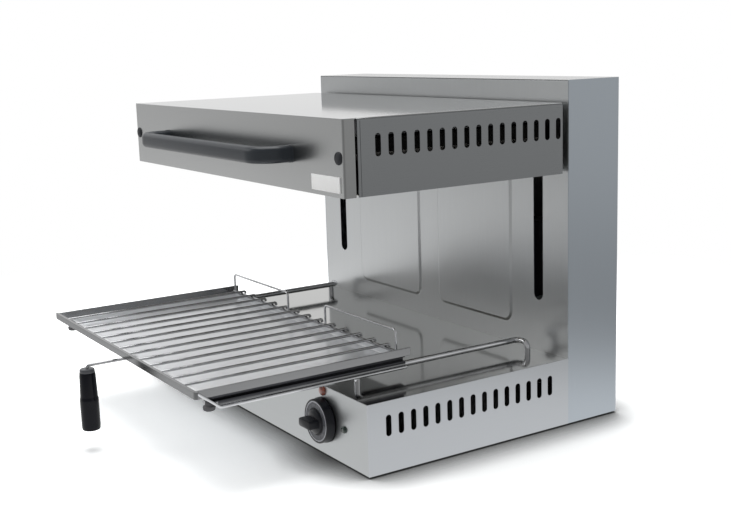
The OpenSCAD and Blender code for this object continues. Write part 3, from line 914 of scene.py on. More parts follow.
class Rule:
    """A Geometry Nodes tree with named inputs, run once on a mesh to make its repeats."""

    def __init__(self, name: str, inputs: dict[str, str]) -> None:
        """Starts the tree.

        Args:
            name: Name of the tree.
            inputs: Kind of each named input, beside the mesh and its finish.
        """
        self.tree = bpy.data.node_groups.new(name, "GeometryNodeTree")
        self.graph = Graph(self.tree)
        face = self.tree.interface
        face.new_socket("Mesh", in_out="INPUT", socket_type="NodeSocketGeometry")
        face.new_socket("Result", in_out="OUTPUT", socket_type="NodeSocketGeometry")
        self.sockets: dict[str, str] = {}
        for label, kind in {**inputs, "Finish": "Material"}.items():
            made = face.new_socket(label, in_out="INPUT", socket_type="NodeSocket" + kind)
            self.sockets[label] = made.identifier
        self.start = self.tree.nodes.new("NodeGroupInput")

    def value(self, label: str) -> Socket:
        """A named input of the tree."""
        return Socket(self.graph, self.start.outputs[label])

    def line(self, count: str, step: str | Point, first: str = "") -> Socket:
        """Points at a constant step.

        Args:
            count: Named input with the number of points.
            step: Named input with the step, or the step itself.
            first: Named input with the first place, or nothing for the origin.

        Returns:
            The points.
        """
        values = {"Count": self.value(count)}
        values["Offset"] = self.value(step) if isinstance(step, str) else step
        if first:
            values["Start Location"] = self.value(first)
        return self.graph.node("GeometryNodeMeshLine", {"mode": "OFFSET"}, values)

    def repeat(self, points: Socket, shape: Socket, **more: Socket) -> Socket:
        """The shape at each of the points."""
        values = {"Points": points, "Instance": shape, **more}
        return self.graph.node("GeometryNodeInstanceOnPoints", {}, values)

    def close(self, shape: Socket) -> "Rule":
        """Ends the tree with real geometry that has the finish.

        Args:
            shape: What the tree makes.

        Returns:
            This rule.
        """
        whole = self.graph.node("GeometryNodeRealizeInstances", {}, [shape])
        values = {"Geometry": whole, "Material": self.value("Finish")}
        dressed = self.graph.node("GeometryNodeSetMaterial", {}, values)
        end = self.tree.nodes.new("NodeGroupOutput")
        self.tree.links.new(dressed.output, end.inputs[0])
        return self

    def run(self, seed: Mesh, finish: Finish, **values: Any) -> Mesh:
        """Runs the tree on a mesh.

        Args:
            seed: The mesh that is repeated or followed; it is freed.
            finish: The finish of the result.
            **values: Value of each named input.

        Returns:
            The result as a plain mesh.
        """
        data = bpy.data.meshes.new("seed")
        seed.to_mesh(data)
        seed.free()
        carrier = bpy.data.objects.new("seed", data)
        bpy.context.scene.collection.objects.link(carrier)
        live = carrier.modifiers.new("rule", "NODES")
        live.node_group = self.tree
        for label, value in {**values, "Finish": finish.build()}.items():
            live[self.sockets[label]] = value
        graph = bpy.context.evaluated_depsgraph_get()
        result = bpy.data.meshes.new_from_object(carrier.evaluated_get(graph), depsgraph=graph)
        carrier.modifiers.clear()
        made = bmesh.new()
        made.from_mesh(result)
        bpy.data.objects.remove(carrier)
        for old in (data, result):
            bpy.data.meshes.remove(old)
        return point_outwards(made)


class Rules:
    """The rules of the melter, each made when it is first used."""

    @staticmethod
    @cache
    def wires() -> Rule:
        """Round wires along a path, repeated at a step.

        Returns:
            The rule.
        """
        kinds = {"Radius": "Float", "Sides": "Int", "Copies": "Int", "Step": "Vector"}
        rule = Rule("bent_wires", kinds)
        node = rule.graph.node
        middle = node("GeometryNodeMeshToCurve", {}, [rule.value("Mesh")])
        profile = node(
            "GeometryNodeCurvePrimitiveCircle",
            {"mode": "RADIUS"},
            {"Resolution": rule.value("Sides"), "Radius": rule.value("Radius")},
        )
        values = {"Curve": middle, "Profile Curve": profile, "Fill Caps": True}
        tube = node("GeometryNodeCurveToMesh", {}, values)
        return rule.close(rule.repeat(rule.line("Copies", "Step"), tube))

    @staticmethod
    @cache
    def rows() -> Rule:
        """Copies of a mesh in columns and rows.

        Returns:
            The rule.
        """
        kinds = {
            "First": "Vector",
            "Across": "Vector",
            "Columns": "Int",
            "Along": "Vector",
            "Rows": "Int",
        }
        rule = Rule("copies_in_rows", kinds)
        columns = rule.line("Columns", "Across", "First")
        lattice = rule.repeat(columns, rule.line("Rows", "Along"))
        spots = rule.graph.node("GeometryNodeRealizeInstances", {}, [lattice])
        return rule.close(rule.repeat(spots, rule.value("Mesh")))

    @staticmethod
    @cache
    def around() -> Rule:
        """Copies of a mesh turned about an axis that points to the back.

        Returns:
            The rule.
        """
        kinds = {"Centre": "Vector", "Copies": "Int", "Start": "Float", "Turn": "Float"}
        rule = Rule("copies_around", kinds)
        node = rule.graph.node
        spots = rule.line("Copies", (0, 0, 0), "Centre")
        index = node("GeometryNodeInputIndex", {}, {})
        angle = rule.value("Start") + index * rule.value("Turn")
        euler = node("ShaderNodeCombineXYZ", {}, {"Y": angle})
        turned = node("FunctionNodeEulerToRotation", {}, [euler])
        return rule.close(rule.repeat(spots, rule.value("Mesh"), Rotation=turned))


def bent_wire(
    corners: Sequence[Vector],
    finish: Finish,
    radius: float,
    bend: float,
    bend_steps: int = 10,
    sides: int = 16,
    copies: int = 1,
    pitch: float = 0.0,
) -> Mesh:
    """A wire through corners, or a row of such wires side by side.

    Args:
        corners: Corner points of its middle line, in metres.
        finish: Its finish.
        radius: Radius of the wire, in millimetres.
        bend: Radius of the bends, in millimetres.
        bend_steps: Straight pieces in a bend.
        sides: Facets round the wire.
        copies: Number of wires.
        pitch: Distance from one wire to the next, in millimetres.

    Returns:
        The mesh.
    """
    return Rules.wires().run(
        path_mesh(rounded_path(corners, bend, bend_steps)),
        finish,
        Radius=radius / MM,
        Sides=sides,
        Copies=copies,
        Step=(pitch / MM, 0, 0),
    )


# ------------------------------------------------------------------ assemblies


@dataclass
class Assembly:
    """A sub-assembly whose pieces ride on one body. Sizes are in millimetres.

    Attributes:
        body: Name of the body.
        pieces: The pieces made so far.
    """

    MERGE_DISTANCE = 0.00002  # metres within which loose corners become one
    FLAT_ANGLE = 0.6  # degrees below which neighbouring triangles become one face
    LEAST_WEIGHT = 1e-24  # keeps a face without area from weighing nothing

    body: str
    pieces: list[bpy.types.Object] = field(default_factory=list)

    def add(
        self,
        name: str,
        mesh: Mesh,
        finish: Finish,
        slot: str,
        replaces: Iterable[str] = (),
        sharp: float = 32.0,
        bevel: float = 0.0,
    ) -> None:
        """Turns a mesh into a piece of the melter.

        Args:
            name: Name of the piece.
            mesh: Its mesh, in place and in metres; it is freed.
            finish: Its finish.
            slot: The record's material slot; not used.
            replaces: The CAD nodes that it stands for.
            sharp: Angle in degrees above which an edge stays sharp.
            bevel: Width in millimetres of a bevel on its sharp edges.
        """
        data = bpy.data.meshes.new(name)
        mesh.to_mesh(data)
        mesh.free()
        piece = bpy.data.objects.new(name, data)
        bpy.context.scene.collection.objects.link(piece)
        for polygon in data.polygons:
            polygon.use_smooth = True
        if bevel:
            made = piece.modifiers.new("edges", "BEVEL")
            made.width = bevel / MM
            made.segments = 2
            made.limit_method = "ANGLE"
            made.angle_limit = math.radians(sharp)
            self.apply_modifiers(piece)
            self.settle_normals(piece.data)
        else:
            data.set_sharp_from_angle(angle=math.radians(sharp))
        self.paint(piece, finish)
        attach(piece, self.body)
        if replaces:
            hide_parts(*replaces)
        self.pieces.append(piece)

    @staticmethod
    def paint(piece: bpy.types.Object, finish: Finish) -> None:
        """Gives an object one finish."""
        piece.data.materials.clear()
        piece.data.materials.append(finish.build())

    @staticmethod
    def apply_modifiers(piece: bpy.types.Object) -> None:
        """Puts the result of a piece's modifiers into its mesh.

        Args:
            piece: The piece.
        """
        graph = bpy.context.evaluated_depsgraph_get()
        result = bpy.data.meshes.new_from_object(
            piece.evaluated_get(graph), preserve_all_data_layers=True, depsgraph=graph
        )
        old = piece.data
        piece.modifiers.clear()
        piece.data = result
        bpy.data.meshes.remove(old)

    @classmethod
    def settle_normals(cls, data: bpy.types.Mesh, spread: float = 50.0) -> None:
        """Lets the widest face at each vertex set its normal, so that flat sheet shades flat.

        Args:
            data: The mesh whose normals are set.
            spread: Angle in degrees above which neighbours aren't smoothed together.
        """
        faces = [(p.normal.copy(), p.area * p.area + cls.LEAST_WEIGHT) for p in data.polygons]
        around: list[list[int]] = [[] for _ in data.vertices]
        for polygon in data.polygons:
            for index in polygon.vertices:
                around[index].append(polygon.index)
        limit = math.cos(math.radians(spread))
        normals: list[Vector] = [UP] * len(data.loops)
        for polygon in data.polygons:
            own = faces[polygon.index][0]
            for corner in polygon.loop_indices:
                total = Vector()
                for index in around[data.loops[corner].vertex_index]:
                    normal, weight = faces[index]
                    if normal.dot(own) > limit:
                        total += normal * weight
                normals[corner] = total.normalized() if total.length > 0 else own
        data.normals_split_custom_set(normals)

    def skin(
        self,
        name: str,
        node: str,
        finish: Finish,
        slot: str,
        bevel: float = 0.3,
        sharp: float = 32.0,
    ) -> None:
        """A copy of a CAD node with its loose triangles merged and its edges softened.

        Args:
            name: Name of the piece.
            node: The CAD node that is copied and stood for.
            finish: The finish of the piece.
            slot: The record's material slot.
            bevel: Width of the softened edges, in millimetres.
            sharp: Angle in degrees above which an edge is softened.
        """
        made = bmesh.new()
        made.from_mesh(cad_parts[node].data)
        bmesh.ops.remove_doubles(made, verts=made.verts, dist=self.MERGE_DISTANCE)
        bmesh.ops.dissolve_limit(
            made,
            angle_limit=math.radians(self.FLAT_ANGLE),
            verts=made.verts,
            edges=made.edges,
            use_dissolve_boundaries=False,
        )
        self.add(name, point_outwards(made), finish, slot, (node,), sharp, bevel)

    def dress(self, finish: Finish, *nodes: str) -> None:
        """Gives CAD nodes that keep their shape a better material."""
        for node in nodes:
            self.paint(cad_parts[node], finish)

    def report(self) -> None:
        """Logs each piece and its number of faces."""
        for piece in self.pieces:
            LOG.info("%s on %s: %d faces", piece.name, self.body, len(piece.data.polygons))


@dataclass
class Cabinet(Assembly):
    """Base, column and everything fixed to them.

    Attributes:
        rail_x: Distance of a guide rail from the middle.
        rail_z: Height of the middle of a rail.
        rail_front: Distance of a rail's front post behind the base front.
        rail_rear: Distance of its rear post.
        rail_foot: Height at which the posts end, under the deck.
        rail_step: How far the rear end steps outwards.
        rail_radius: Radius of the rod.
        rail_bend: Radius of its bends.
        red_lamp: Place of the red pilot lamp.
        green_lamp: Place of the green pilot lamp.
        foot_x: Distance of a foot from the middle.
        foot_front: Distance of the front feet behind the base front.
        foot_span: Distance from the front feet to the rear ones.
        screw_x: Distance of a screw of the back panel from the middle.
        screw_y: Outer face of the back panel.
        screw_z: Height of the lowest screws.
        screw_pitch: Distance from screw to screw upwards.
        screw_rows: Number of screws above each other.
    """

    PANELS: ClassVar[tuple] = (
        ("base_front_panel", "base_front", Finishes.base_front, "satin_steel", 0.35),
        ("base_left_panel", "base_side_left", Finishes.base_side, "satin_steel", 0.35),
        ("base_right_panel", "base_side_right", Finishes.base_side, "satin_steel", 0.35),
        ("base_deck", "base_top", Finishes.deck, "polished_steel"),
        ("splash_plate", "column_front", Finishes.splash, "polished_steel", 0.35, 18.0),
        ("column_left_panel", "column_side_left", Finishes.column_side, "satin_steel"),
        ("column_right_panel", "column_side_right", Finishes.column_side, "satin_steel"),
        ("column_back_panel", "column_rear", Finishes.column_rear, "satin_steel"),
        ("column_cap", "column_top", Finishes.column_cap, "satin_steel"),
    )
    RED_LENS: ClassVar[Outline] = [
        (3.9, -18), (3.9, 0), (6.3, 0), (6.3, 1.5), (5.9, 1.9), (5.3, 2.0),
        (5.2, 2.6), (4.6, 3.4), (3.2, 3.9), (1.6, 4.15), (0, 4.2),
    ]
    GREEN_LENS: ClassVar[Outline] = [
        (2.9, -18), (2.9, 0), (4.5, 0), (4.5, 1.6), (3.9, 2.1),
        (3.4, 2.1), (3.3, 2.9), (1.8, 3.4), (0, 3.5),
    ]
    FOOT: ClassVar[Outline] = [(0, 0), (12.4, 0), (13.2, 0.5), (14, 2.2), (13.6, 3.0), (0, 3.0)]
    SCREW: ClassVar[Outline] = [
        (0, 0), (3.5, 0), (3.5, 0.5), (3.2, 1.1), (2.4, 1.5), (1.0, 1.6), (0, 1.6),
    ]

    body: str = "cabinet"
    rail_x: float = 230.0
    rail_z: float = 106.0
    rail_front: float = 31.0
    rail_rear: float = 283.0
    rail_foot: float = 80.0
    rail_step: float = 19.0
    rail_radius: float = 4.0
    rail_bend: float = 8.0
    red_lamp: Point = (200.0, 0.0, 83.5)
    green_lamp: Point = (247.6, 0.0, 46.5)
    foot_x: float = 255.0
    foot_front: float = 40.0
    foot_span: float = 316.0
    screw_x: float = 267.0
    screw_y: float = 396.0
    screw_z: float = 30.0
    screw_pitch: float = 130.0
    screw_rows: int = 4

    def build(self) -> None:
        """Makes and dresses every piece of the cabinet."""
        for panel in self.PANELS:
            self.skin(*panel)
        self.rails()
        self.lamps()
        self.feet()
        self.screws()
        self.inside()

    def rails(self) -> None:
        """Makes the guide rails, each bent from one rod."""
        for side in (Side.RIGHT, Side.LEFT):
            near, far = self.rail_x * side.value, (self.rail_x + self.rail_step) * side.value
            corners = [
                at(near, self.rail_front, self.rail_foot),
                at(near, self.rail_front, self.rail_z),
                at(near, self.rail_rear, self.rail_z),
                at(far, self.rail_rear, self.rail_z),
                at(far, self.rail_rear, self.rail_foot),
            ]
            rod = bent_wire(corners, Finishes.chrome, self.rail_radius, self.rail_bend, 12, 24)
            name, node = f"guide_rail_{side.word}", f"rail_{side.word}"
            self.add(name, rod, Finishes.chrome, "bright_steel", (node,))

    def lamps(self) -> None:
        """Makes the pilot lamps with their turned bezels."""
        for colour, finish, profile, place in (
            ("red", Finishes.red, self.RED_LENS, self.red_lamp),
            ("green", Finishes.green, self.GREEN_LENS, self.green_lamp),
        ):
            lens = lathe(profile, at(*place), FRONT)
            self.add(f"pilot_lamp_{colour}", lens, finish, f"{colour}_lens", (f"lamp_{colour}",))

    def feet(self) -> None:
        """Makes the low rubber feet."""
        feet = Rules.rows().run(
            lathe(self.FOOT, Vector(), UP, 40),
            Finishes.rubber,
            First=at(-self.foot_x, self.foot_front, 0),
            Across=(2 * self.foot_x / MM, 0, 0),
            Columns=2,
            Along=(0, self.foot_span / MM, 0),
            Rows=2,
        )
        self.add("bench_feet", feet, Finishes.rubber, "black_rubber", ("feet",))

    def screws(self) -> None:
        """Makes the pan-head screws of the back panel."""
        heads = Rules.rows().run(
            lathe(self.SCREW, Vector(), BACK, 24),
            Finishes.chrome,
            First=at(-self.screw_x, self.screw_y, self.screw_z),
            Across=(2 * self.screw_x / MM, 0, 0),
            Columns=2,
            Along=(0, 0, self.screw_pitch / MM),
            Rows=self.screw_rows,
        )
        self.add("back_panel_screws", heads, Finishes.chrome, "bright_steel", ("rear_screws",))

    def inside(self) -> None:
        """Dresses what is inside the base and the column."""
        # The base floor is near black as painted shade.
        self.dress(Finishes.shaded, "base_floor")
        self.dress(
            Finishes.plain, "rail_nuts", "guide_brackets", "shaft_bearings", "idler_brackets"
        )
        self.dress(Finishes.chrome, "guide_rods")
        self.dress(Finishes.rope, "lift_ropes")
        self.dress(Finishes.rubber, "lift_buffers")
        self.dress(Finishes.plug, "cable_gland")
        self.dress(Finishes.ceramic, "terminal_block", "regulator")


@dataclass
class Lift(Assembly):
    """Turning and sliding pieces inside the column, which have bodies of their own."""

    body: str = "lift_shaft"

    def build(self) -> None:
        """Dresses the pulleys and the counterweight."""
        self.dress(Finishes.plain, "lift_shaft", "idler_left", "idler_right")
        self.dress(Finishes.iron, "counterweight")


@dataclass
class ControlKnob(Assembly):
    """Moulded knob with its printed dial ring.

    Attributes:
        x: Distance of its middle to the right.
        z: Height of its middle.
        sides: Facets round it.
        mark_count: Marks of the scale.
        mark_start: Angle of the first mark, in degrees.
        mark_turn: Angle from mark to mark, in degrees.
        corner: Radius of the pointer bar's corners at its root.
        flat: Least part of its half thickness that stays flat.
    """

    DISC: ClassVar[Outline] = [
        (0, 0.8), (27.4, 0.8), (28.3, 1.3), (28.3, 2.8), (27.5, 4.6), (27.5, 10.8),
        (27.1, 11.7), (26.3, 12.0), (25.4, 11.9), (25.0, 11.4), (16.4, 11.4), (15.7, 11.9),
        (15.2, 13.8), (13.6, 15.2), (10.0, 16.2), (5.0, 16.4), (0, 16.4),
    ]
    LINE: ClassVar[Outline] = [
        (23.5, 11.4), (25.0, 11.4), (25.0, 11.56), (23.5, 11.56), (23.5, 11.4),
    ]
    BAND: ClassVar[Outline] = [
        (17.2, 11.4), (22.9, 11.4), (22.9, 11.5), (17.2, 11.5), (17.2, 11.4),
    ]
    # Depth, half length and half thickness of the pointer bar, from root to face.
    POINTER: ClassVar[tuple] = (
        (11.6, 14.0, 5.5),
        (13.5, 14.0, 5.5),
        (18.0, 13.8, 5.35),
        (26.5, 13.6, 5.2),
        (27.8, 13.2, 4.9),
        (28.4, 12.3, 4.0),
    )
    # Lowest and highest corner of a mark over the knob's middle, in metres.
    MARK: ClassVar[tuple] = ((-0.0004, -0.01158, 0.0184), (0.0004, -0.0115, 0.0222))
    MARK_EDGE: ClassVar[float] = 0.03  # radius of a mark's edges, in millimetres
    SEAM: ClassVar[float] = 0.000001  # metres within which a ring's two ends become one

    body: str = "knob"
    x: float = 200.0
    z: float = 46.5
    sides: int = 96
    mark_count: int = 11
    mark_start: float = -150.0
    mark_turn: float = 30.0
    corner: float = 2.4
    flat: float = 0.6

    def build(self) -> None:
        """Makes the disc, the pointer bar and the printed scale."""
        disc = lathe(self.DISC, at(self.x, 0, self.z), FRONT, self.sides)
        knob = merge(disc, self.pointer())
        self.add("control_knob", knob, Finishes.knob, "knob_plastic", ("knob",))
        self.scale()
        self.dress(Finishes.plain, "knob_spindle")

    def pointer(self) -> Mesh:
        """Makes the bar across the knob, for the fingers, a little wider at its root.

        Returns:
            The bar.
        """
        made = bmesh.new()
        rows = []
        for depth, half, thick in self.POINTER:
            corner = min(self.corner, thick - self.flat)
            outline = box_section(2 * half, 2 * thick, corner)
            places = [at(self.x + u, -depth, self.z + v) for u, v in outline]
            rows.append([made.verts.new(p) for p in places])
        bridge(made, rows)
        made.faces.new(rows[0])
        made.faces.new(rows[-1])
        return point_outwards(made)

    def scale(self) -> None:
        """Makes the printed band with plain marks, and the bright line round it."""
        centre = at(self.x, 0, self.z)
        for name, profile, finish in (
            ("dial_line", self.LINE, Finishes.print_white),
            ("dial_band", self.BAND, Finishes.dial),
        ):
            made = lathe(profile, centre, FRONT, self.sides)
            bmesh.ops.remove_doubles(made, verts=made.verts, dist=self.SEAM)
            self.add(name, point_outwards(made), finish, "knob_plastic")
        low, high = (Vector(corner) for corner in self.MARK)
        marks = Rules.around().run(
            rounded_box(low, high, self.MARK_EDGE, 1),
            Finishes.print_dark,
            Centre=centre,
            Copies=self.mark_count,
            Start=math.radians(self.mark_start),
            Turn=math.radians(self.mark_turn),
        )
        self.add("dial_marks", marks, Finishes.print_dark, "knob_plastic")


@dataclass
class Hood(Assembly):
    """The heated hood.

    Attributes:
        sheet: Thickness of the sheet.
        hem_outer: Distance of a hem's outer face from the middle.
        hem_front: Where the hems start, behind the base front.
        hem_rear: Where they end.
        face_y: Face of the front panel.
        handle_half: Distance of a handle's end from the middle.
        handle_z: Height of the handle.
        handle_y: Middle of the handle's bar.
        handle_bend: Radius of its bends.
        plug_x: Distance of a plug from the middle.
        plug_z: Height of the plugs.
    """

    # Width, height and corner radius of the handle's bar and of its feet, in metres.
    BAR: ClassVar[tuple] = (0.016, 0.020, 0.0058)
    FOOT: ClassVar[tuple] = (0.0168, 0.0210, 0.0062)
    # How far a handle's foot stands out of the panel, from its start to its end.
    FOOT_DEPTHS: ClassVar[tuple] = (0.0, 1.6, 2.2)
    PLUG: ClassVar[Outline] = [
        (0, -1), (7.4, -1), (7.5, 0.5), (7.2, 1.1), (6.3, 1.7), (5.6, 1.8),
        (5.4, 1.5), (4.8, 1.5), (4.5, 1.9), (2.5, 2.3), (0, 2.4),
    ]
    PLATE: ClassVar[tuple] = (230, 291.6, -21.5, -19.9, 335.2, 353.2)

    body: str = "hood"
    sheet: float = 1.2
    hem_outer: float = 299.4
    hem_front: float = -7.4
    hem_rear: float = -4.4
    face_y: float = -20.0
    handle_half: float = 180.0
    handle_z: float = 372.5
    handle_y: float = -60.0
    handle_bend: float = 26.0
    plug_x: float = 289.0
    plug_z: float = 374.0

    def build(self) -> None:
        """Makes and dresses every piece of the hood."""
        self.shell()
        self.handle()
        spots = [at(x, self.face_y, self.plug_z) for x in (-self.plug_x, self.plug_x)]
        plugs = [lathe(self.PLUG, spot, FRONT, 40) for spot in spots]
        self.add("panel_plugs", merge(*plugs), Finishes.plug, "black_plastic", ("hood_plugs",))
        self.add("blank_plate", slab(self.PLATE, 0.4), Finishes.enamel, "satin_steel")
        self.inside()

    def shell(self) -> None:
        """Makes the folded sheet panels and the hems at the front panel's ends."""
        self.skin("hood_front_panel", "hood_front", Finishes.hood_front, "satin_steel", 0.4)
        # The cover's sides carry painted shade in their darker colour.
        self.skin("hood_shell", "hood_cover", Finishes.hood_side, "satin_steel", 0.35)
        low, high = (corner[2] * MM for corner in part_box("hood_front"))
        inner = self.hem_outer - self.sheet
        limits = (inner, self.hem_outer, self.hem_front, self.hem_rear, low, high - self.sheet)
        hems = [slab(limits, 0.3, side, 1) for side in Side]
        # The hems take the front panel's finish, so they fall in its painted shade at the ends.
        self.add("front_panel_hems", merge(*hems), Finishes.hood_front, "satin_steel")
        self.skin("hood_back_panel", "hood_rear", Finishes.column_rear, "satin_steel")
        self.skin("heat_reflector", "hood_reflector", Finishes.reflector, "polished_steel")

    def handle(self) -> None:
        """Makes the bow handle with its feet against the panel."""
        root = self.face_y - 1
        ends = [(-1, root), (-1, self.handle_y), (1, self.handle_y), (1, root)]
        corners = [at(s * self.handle_half, y, self.handle_z) for s, y in ends]
        bow = rounded_path(corners, self.handle_bend, 16)
        parts = [sweep(bow, box_section(*self.BAR))]
        for sign in (-1, 1):
            x = sign * self.handle_half
            leg = [at(x, self.face_y - out, self.handle_z) for out in self.FOOT_DEPTHS]
            parts.append(sweep(leg, box_section(*self.FOOT)))
        self.add(
            "hood_handle_bar",
            merge(*parts),
            Finishes.handle,
            "black_plastic",
            ("hood_handle",),
            40.0,
        )

    def inside(self) -> None:
        """Dresses the heating elements and what is inside the hood and the column."""
        self.dress(Finishes.sheath, "element_front", "element_middle", "element_rear")
        self.dress(Finishes.plain, "element_hangers", "hood_beams", "carriage_left")
        self.dress(Finishes.plain, "carriage_right", "carriage_tie", "rope_clamps")
        # The insulation is near black as painted shade.
        self.dress(Finishes.wool, "hood_insulation")
        self.dress(Finishes.bronze, "carriage_bushings")


@dataclass
class Rack(Assembly):
    """Pull-out wire rack with its drip tray.

    Attributes:
        rods: Number of grid rods.
        pitch: Distance from rod to rod.
        rod_radius: Radius of a grid rod.
        rod_z: Height of the grid.
        rod_bend: Radius of the bend at a rod's end.
        front_y: Front end of the rods.
        hook_y: Rear end of the rods.
        hook_z: Height down to which the rods are bent.
        cross_half: Half the length of the cross rod.
        cross_y: Place of the cross rod.
        cross_z: Height of the cross rod.
        cross_radius: Radius of the cross rod.
        arch_inner: Inner end of an arch.
        arch_outer: Outer end of an arch.
        arch_tall: Height of an arch over the cross rod's middle.
        arch_y: Place of the arches.
        arch_radius: Radius of their wire.
        arch_bend: Radius of its bends.
        tray_half: Half the width of the tray inside its rim.
        tray_front: Front of the tray.
        tray_rear: Rear of the tray.
        tray_rim: Height of the rim's outer edge.
        tray_floor: Height of the tray's underside.
        tray_sheet: Thickness of its sheet.
        tray_bend: Outer radius of the bend between wall and floor.
        rim_wide: How far the rim stands out sideways.
        rim_deep: How far it stands out at the front and the rear.
        rim_top: Height of its upper face.
        rim_under: Height of its underside.
        rim_inset: How far its upper face reaches inside the tray's outer wall.
        rim_corner: Radius of its corners.
        wall_corner: Radius of the corners of the wall's inner face.
        bead_x: Distance of a bead wire from the middle.
        bead_z: Height of a bead wire.
        bead_radius: Radius of a bead wire.
        bead_bend: Radius of its bend.
        bead_front: Where it bends up.
        nose_y: Where it meets the front bar.
        nose_rise: How far it has risen there.
        rear_y: Rear end of the runners.
        foot_x: Distance of a rubber foot from the middle.
        foot_y: Place of the rubber feet.
        wire_start: Start of the handle wire.
        wire_z: Height of the handle wire.
        wire_end: Height at which it ends in the handgrip.
        wire_radius: Radius of the handle wire.
        wire_bend: Radius of its bend.
        grip_y: Middle of the handgrip.
    """

    # Shelf over the rail, web, flange, hook under the rail in two pieces, top of the lip; all
    # near black as painted shade of the recess.
    CHANNEL: ClassVar[tuple] = (
        (224.3, 237.4, -168.0, 97.0, 110.3, 111.8),
        (231.0, 232.5, -168.0, 97.0, 111.5, 116.5),
        (231.0, 236.5, -168.0, 97.0, 116.0, 117.5),
        (224.3, 225.5, 40.0, 97.0, 100.0, 110.6),
        (224.3, 233.5, 40.0, 97.0, 100.0, 101.5),
        (236.5, 238.0, -156.0, 97.0, 108.4, 111.6),
    )
    LIP: ClassVar[tuple] = (236.5, 238.0, -156.0, 97.0, 105.0, 108.6)
    FOOT: ClassVar[Outline] = [
        (0, 100.5), (5.2, 100.5), (6.6, 101.3), (7.4, 104.4),
        (7.1, 105.7), (4.9, 106.5), (4.4, 110.3), (0, 110.3),
    ]
    GRIP: ClassVar[Outline] = [
        (0, 27), (9.4, 27), (11.0, 27.8), (11.6, 30.2), (11.8, 34), (11.8, 66),
        (11.6, 68.4), (11.1, 69.8), (11.0, 71), (10.2, 98), (9.8, 101.8), (0, 101.8),
    ]
    CAP: ClassVar[Outline] = [
        (0, 101.6), (9.3, 101.6), (9.5, 102.4), (9.4, 105.2),
        (8.9, 106.3), (8.2, 106.5), (2.2, 106.5), (0, 106.4),
    ]
    ARCH_DOME: ClassVar[float] = 0.0005  # metres by which an arch's ends bulge

    body: str = "rack"
    rods: int = 13
    pitch: float = 33.3
    rod_radius: float = 1.75
    rod_z: float = 125.0
    rod_bend: float = 2.5
    front_y: float = -182.0
    hook_y: float = 99.5
    hook_z: float = 121.1
    cross_half: float = 235.0
    cross_y: float = 93.0
    cross_z: float = 121.2
    cross_radius: float = 2.25
    arch_inner: float = 52.0
    arch_outer: float = 223.0
    arch_tall: float = 27.45
    arch_y: float = 93.7
    arch_radius: float = 1.5
    arch_bend: float = 5.0
    tray_half: float = 223.5
    tray_front: float = -165.0
    tray_rear: float = 97.0
    tray_rim: float = 118.1
    tray_floor: float = 108.5
    tray_sheet: float = 1.0
    tray_bend: float = 4.0
    rim_wide: float = 11.0
    rim_deep: float = 2.9
    rim_top: float = 118.5
    rim_under: float = 117.6
    rim_inset: float = 0.6
    rim_corner: float = 4.0
    wall_corner: float = 6.0
    bead_x: float = 239.7
    bead_z: float = 104.4
    bead_radius: float = 1.75
    bead_bend: float = 6.0
    bead_front: float = -155.0
    nose_y: float = -181.6
    nose_rise: float = 20.6
    rear_y: float = 97.0
    foot_x: float = 231.3
    foot_y: float = -164.8
    wire_start: float = -165.0
    wire_z: float = 110.5
    wire_end: float = 80.0
    wire_radius: float = 2.0
    wire_bend: float = 4.0
    grip_y: float = -224.6

    def build(self) -> None:
        """Makes and dresses every piece of the rack."""
        self.skin(
            "rack_front_strip", "rack_front_bar", Finishes.front_strip, "bright_steel", 0.5
        )
        self.skin("rack_side_strips", "rack_side_bars", Finishes.strip, "bright_steel", 0.5)
        self.grid()
        self.arches()
        self.tray()
        self.runners()
        self.grip()

    def grid(self) -> None:
        """Makes the grid rods, hooked down behind the cross rod."""
        first = (1 - self.rods) / 2 * self.pitch
        corners = [
            at(first, self.front_y, self.rod_z),
            at(first, self.hook_y, self.rod_z),
            at(first, self.hook_y, self.hook_z),
        ]
        rods = bent_wire(
            corners,
            Finishes.wire,
            self.rod_radius,
            self.rod_bend,
            bend_steps=6,
            sides=14,
            copies=self.rods,
            pitch=self.pitch,
        )
        ends = [at(x, self.cross_y, self.cross_z) for x in (-self.cross_half, self.cross_half)]
        cross = sweep(ends, circle_section(self.cross_radius / MM))
        grid = merge(rods, cross)
        self.add("rack_grid", grid, Finishes.wire, "bright_steel", ("rack_rods",), bevel=0.3)

    def arches(self) -> None:
        """Makes the two low wire arches at the rear."""
        low, high = self.cross_z + self.cross_radius, self.cross_z + self.arch_tall
        spots = [
            (self.arch_inner, low),
            (self.arch_inner, high),
            (self.arch_outer, high),
            (self.arch_outer, low),
        ]
        path = rounded_path([at(x, self.arch_y, z) for x, z in spots], self.arch_bend)
        section = circle_section(self.arch_radius / MM, 12)
        wire = sweep(path, section, RIGHT, self.ARCH_DOME)
        self.add(
            "rack_arches", mirrored(wire), Finishes.chrome, "bright_steel", ("rack_stops",)
        )

    def tray_ring(
        self, made: Mesh, inset: tuple[float, float], z: float, corner: float
    ) -> list[Any]:
        """Adds one rounded outline of the tray.

        Args:
            made: The tray's mesh.
            inset: How far it lies inside the tray's outer wall, sideways and lengthwise.
            z: Its height.
            corner: Radius of its corners.

        Returns:
            Its points.
        """
        wide = 2 * (self.tray_half - inset[0])
        deep = self.tray_rear - self.tray_front - 2 * inset[1]
        middle = (self.tray_front + self.tray_rear) / 2
        outline = box_section(wide, deep, corner, 6)
        return [made.verts.new(at(u, middle + v, z)) for u, v in outline]

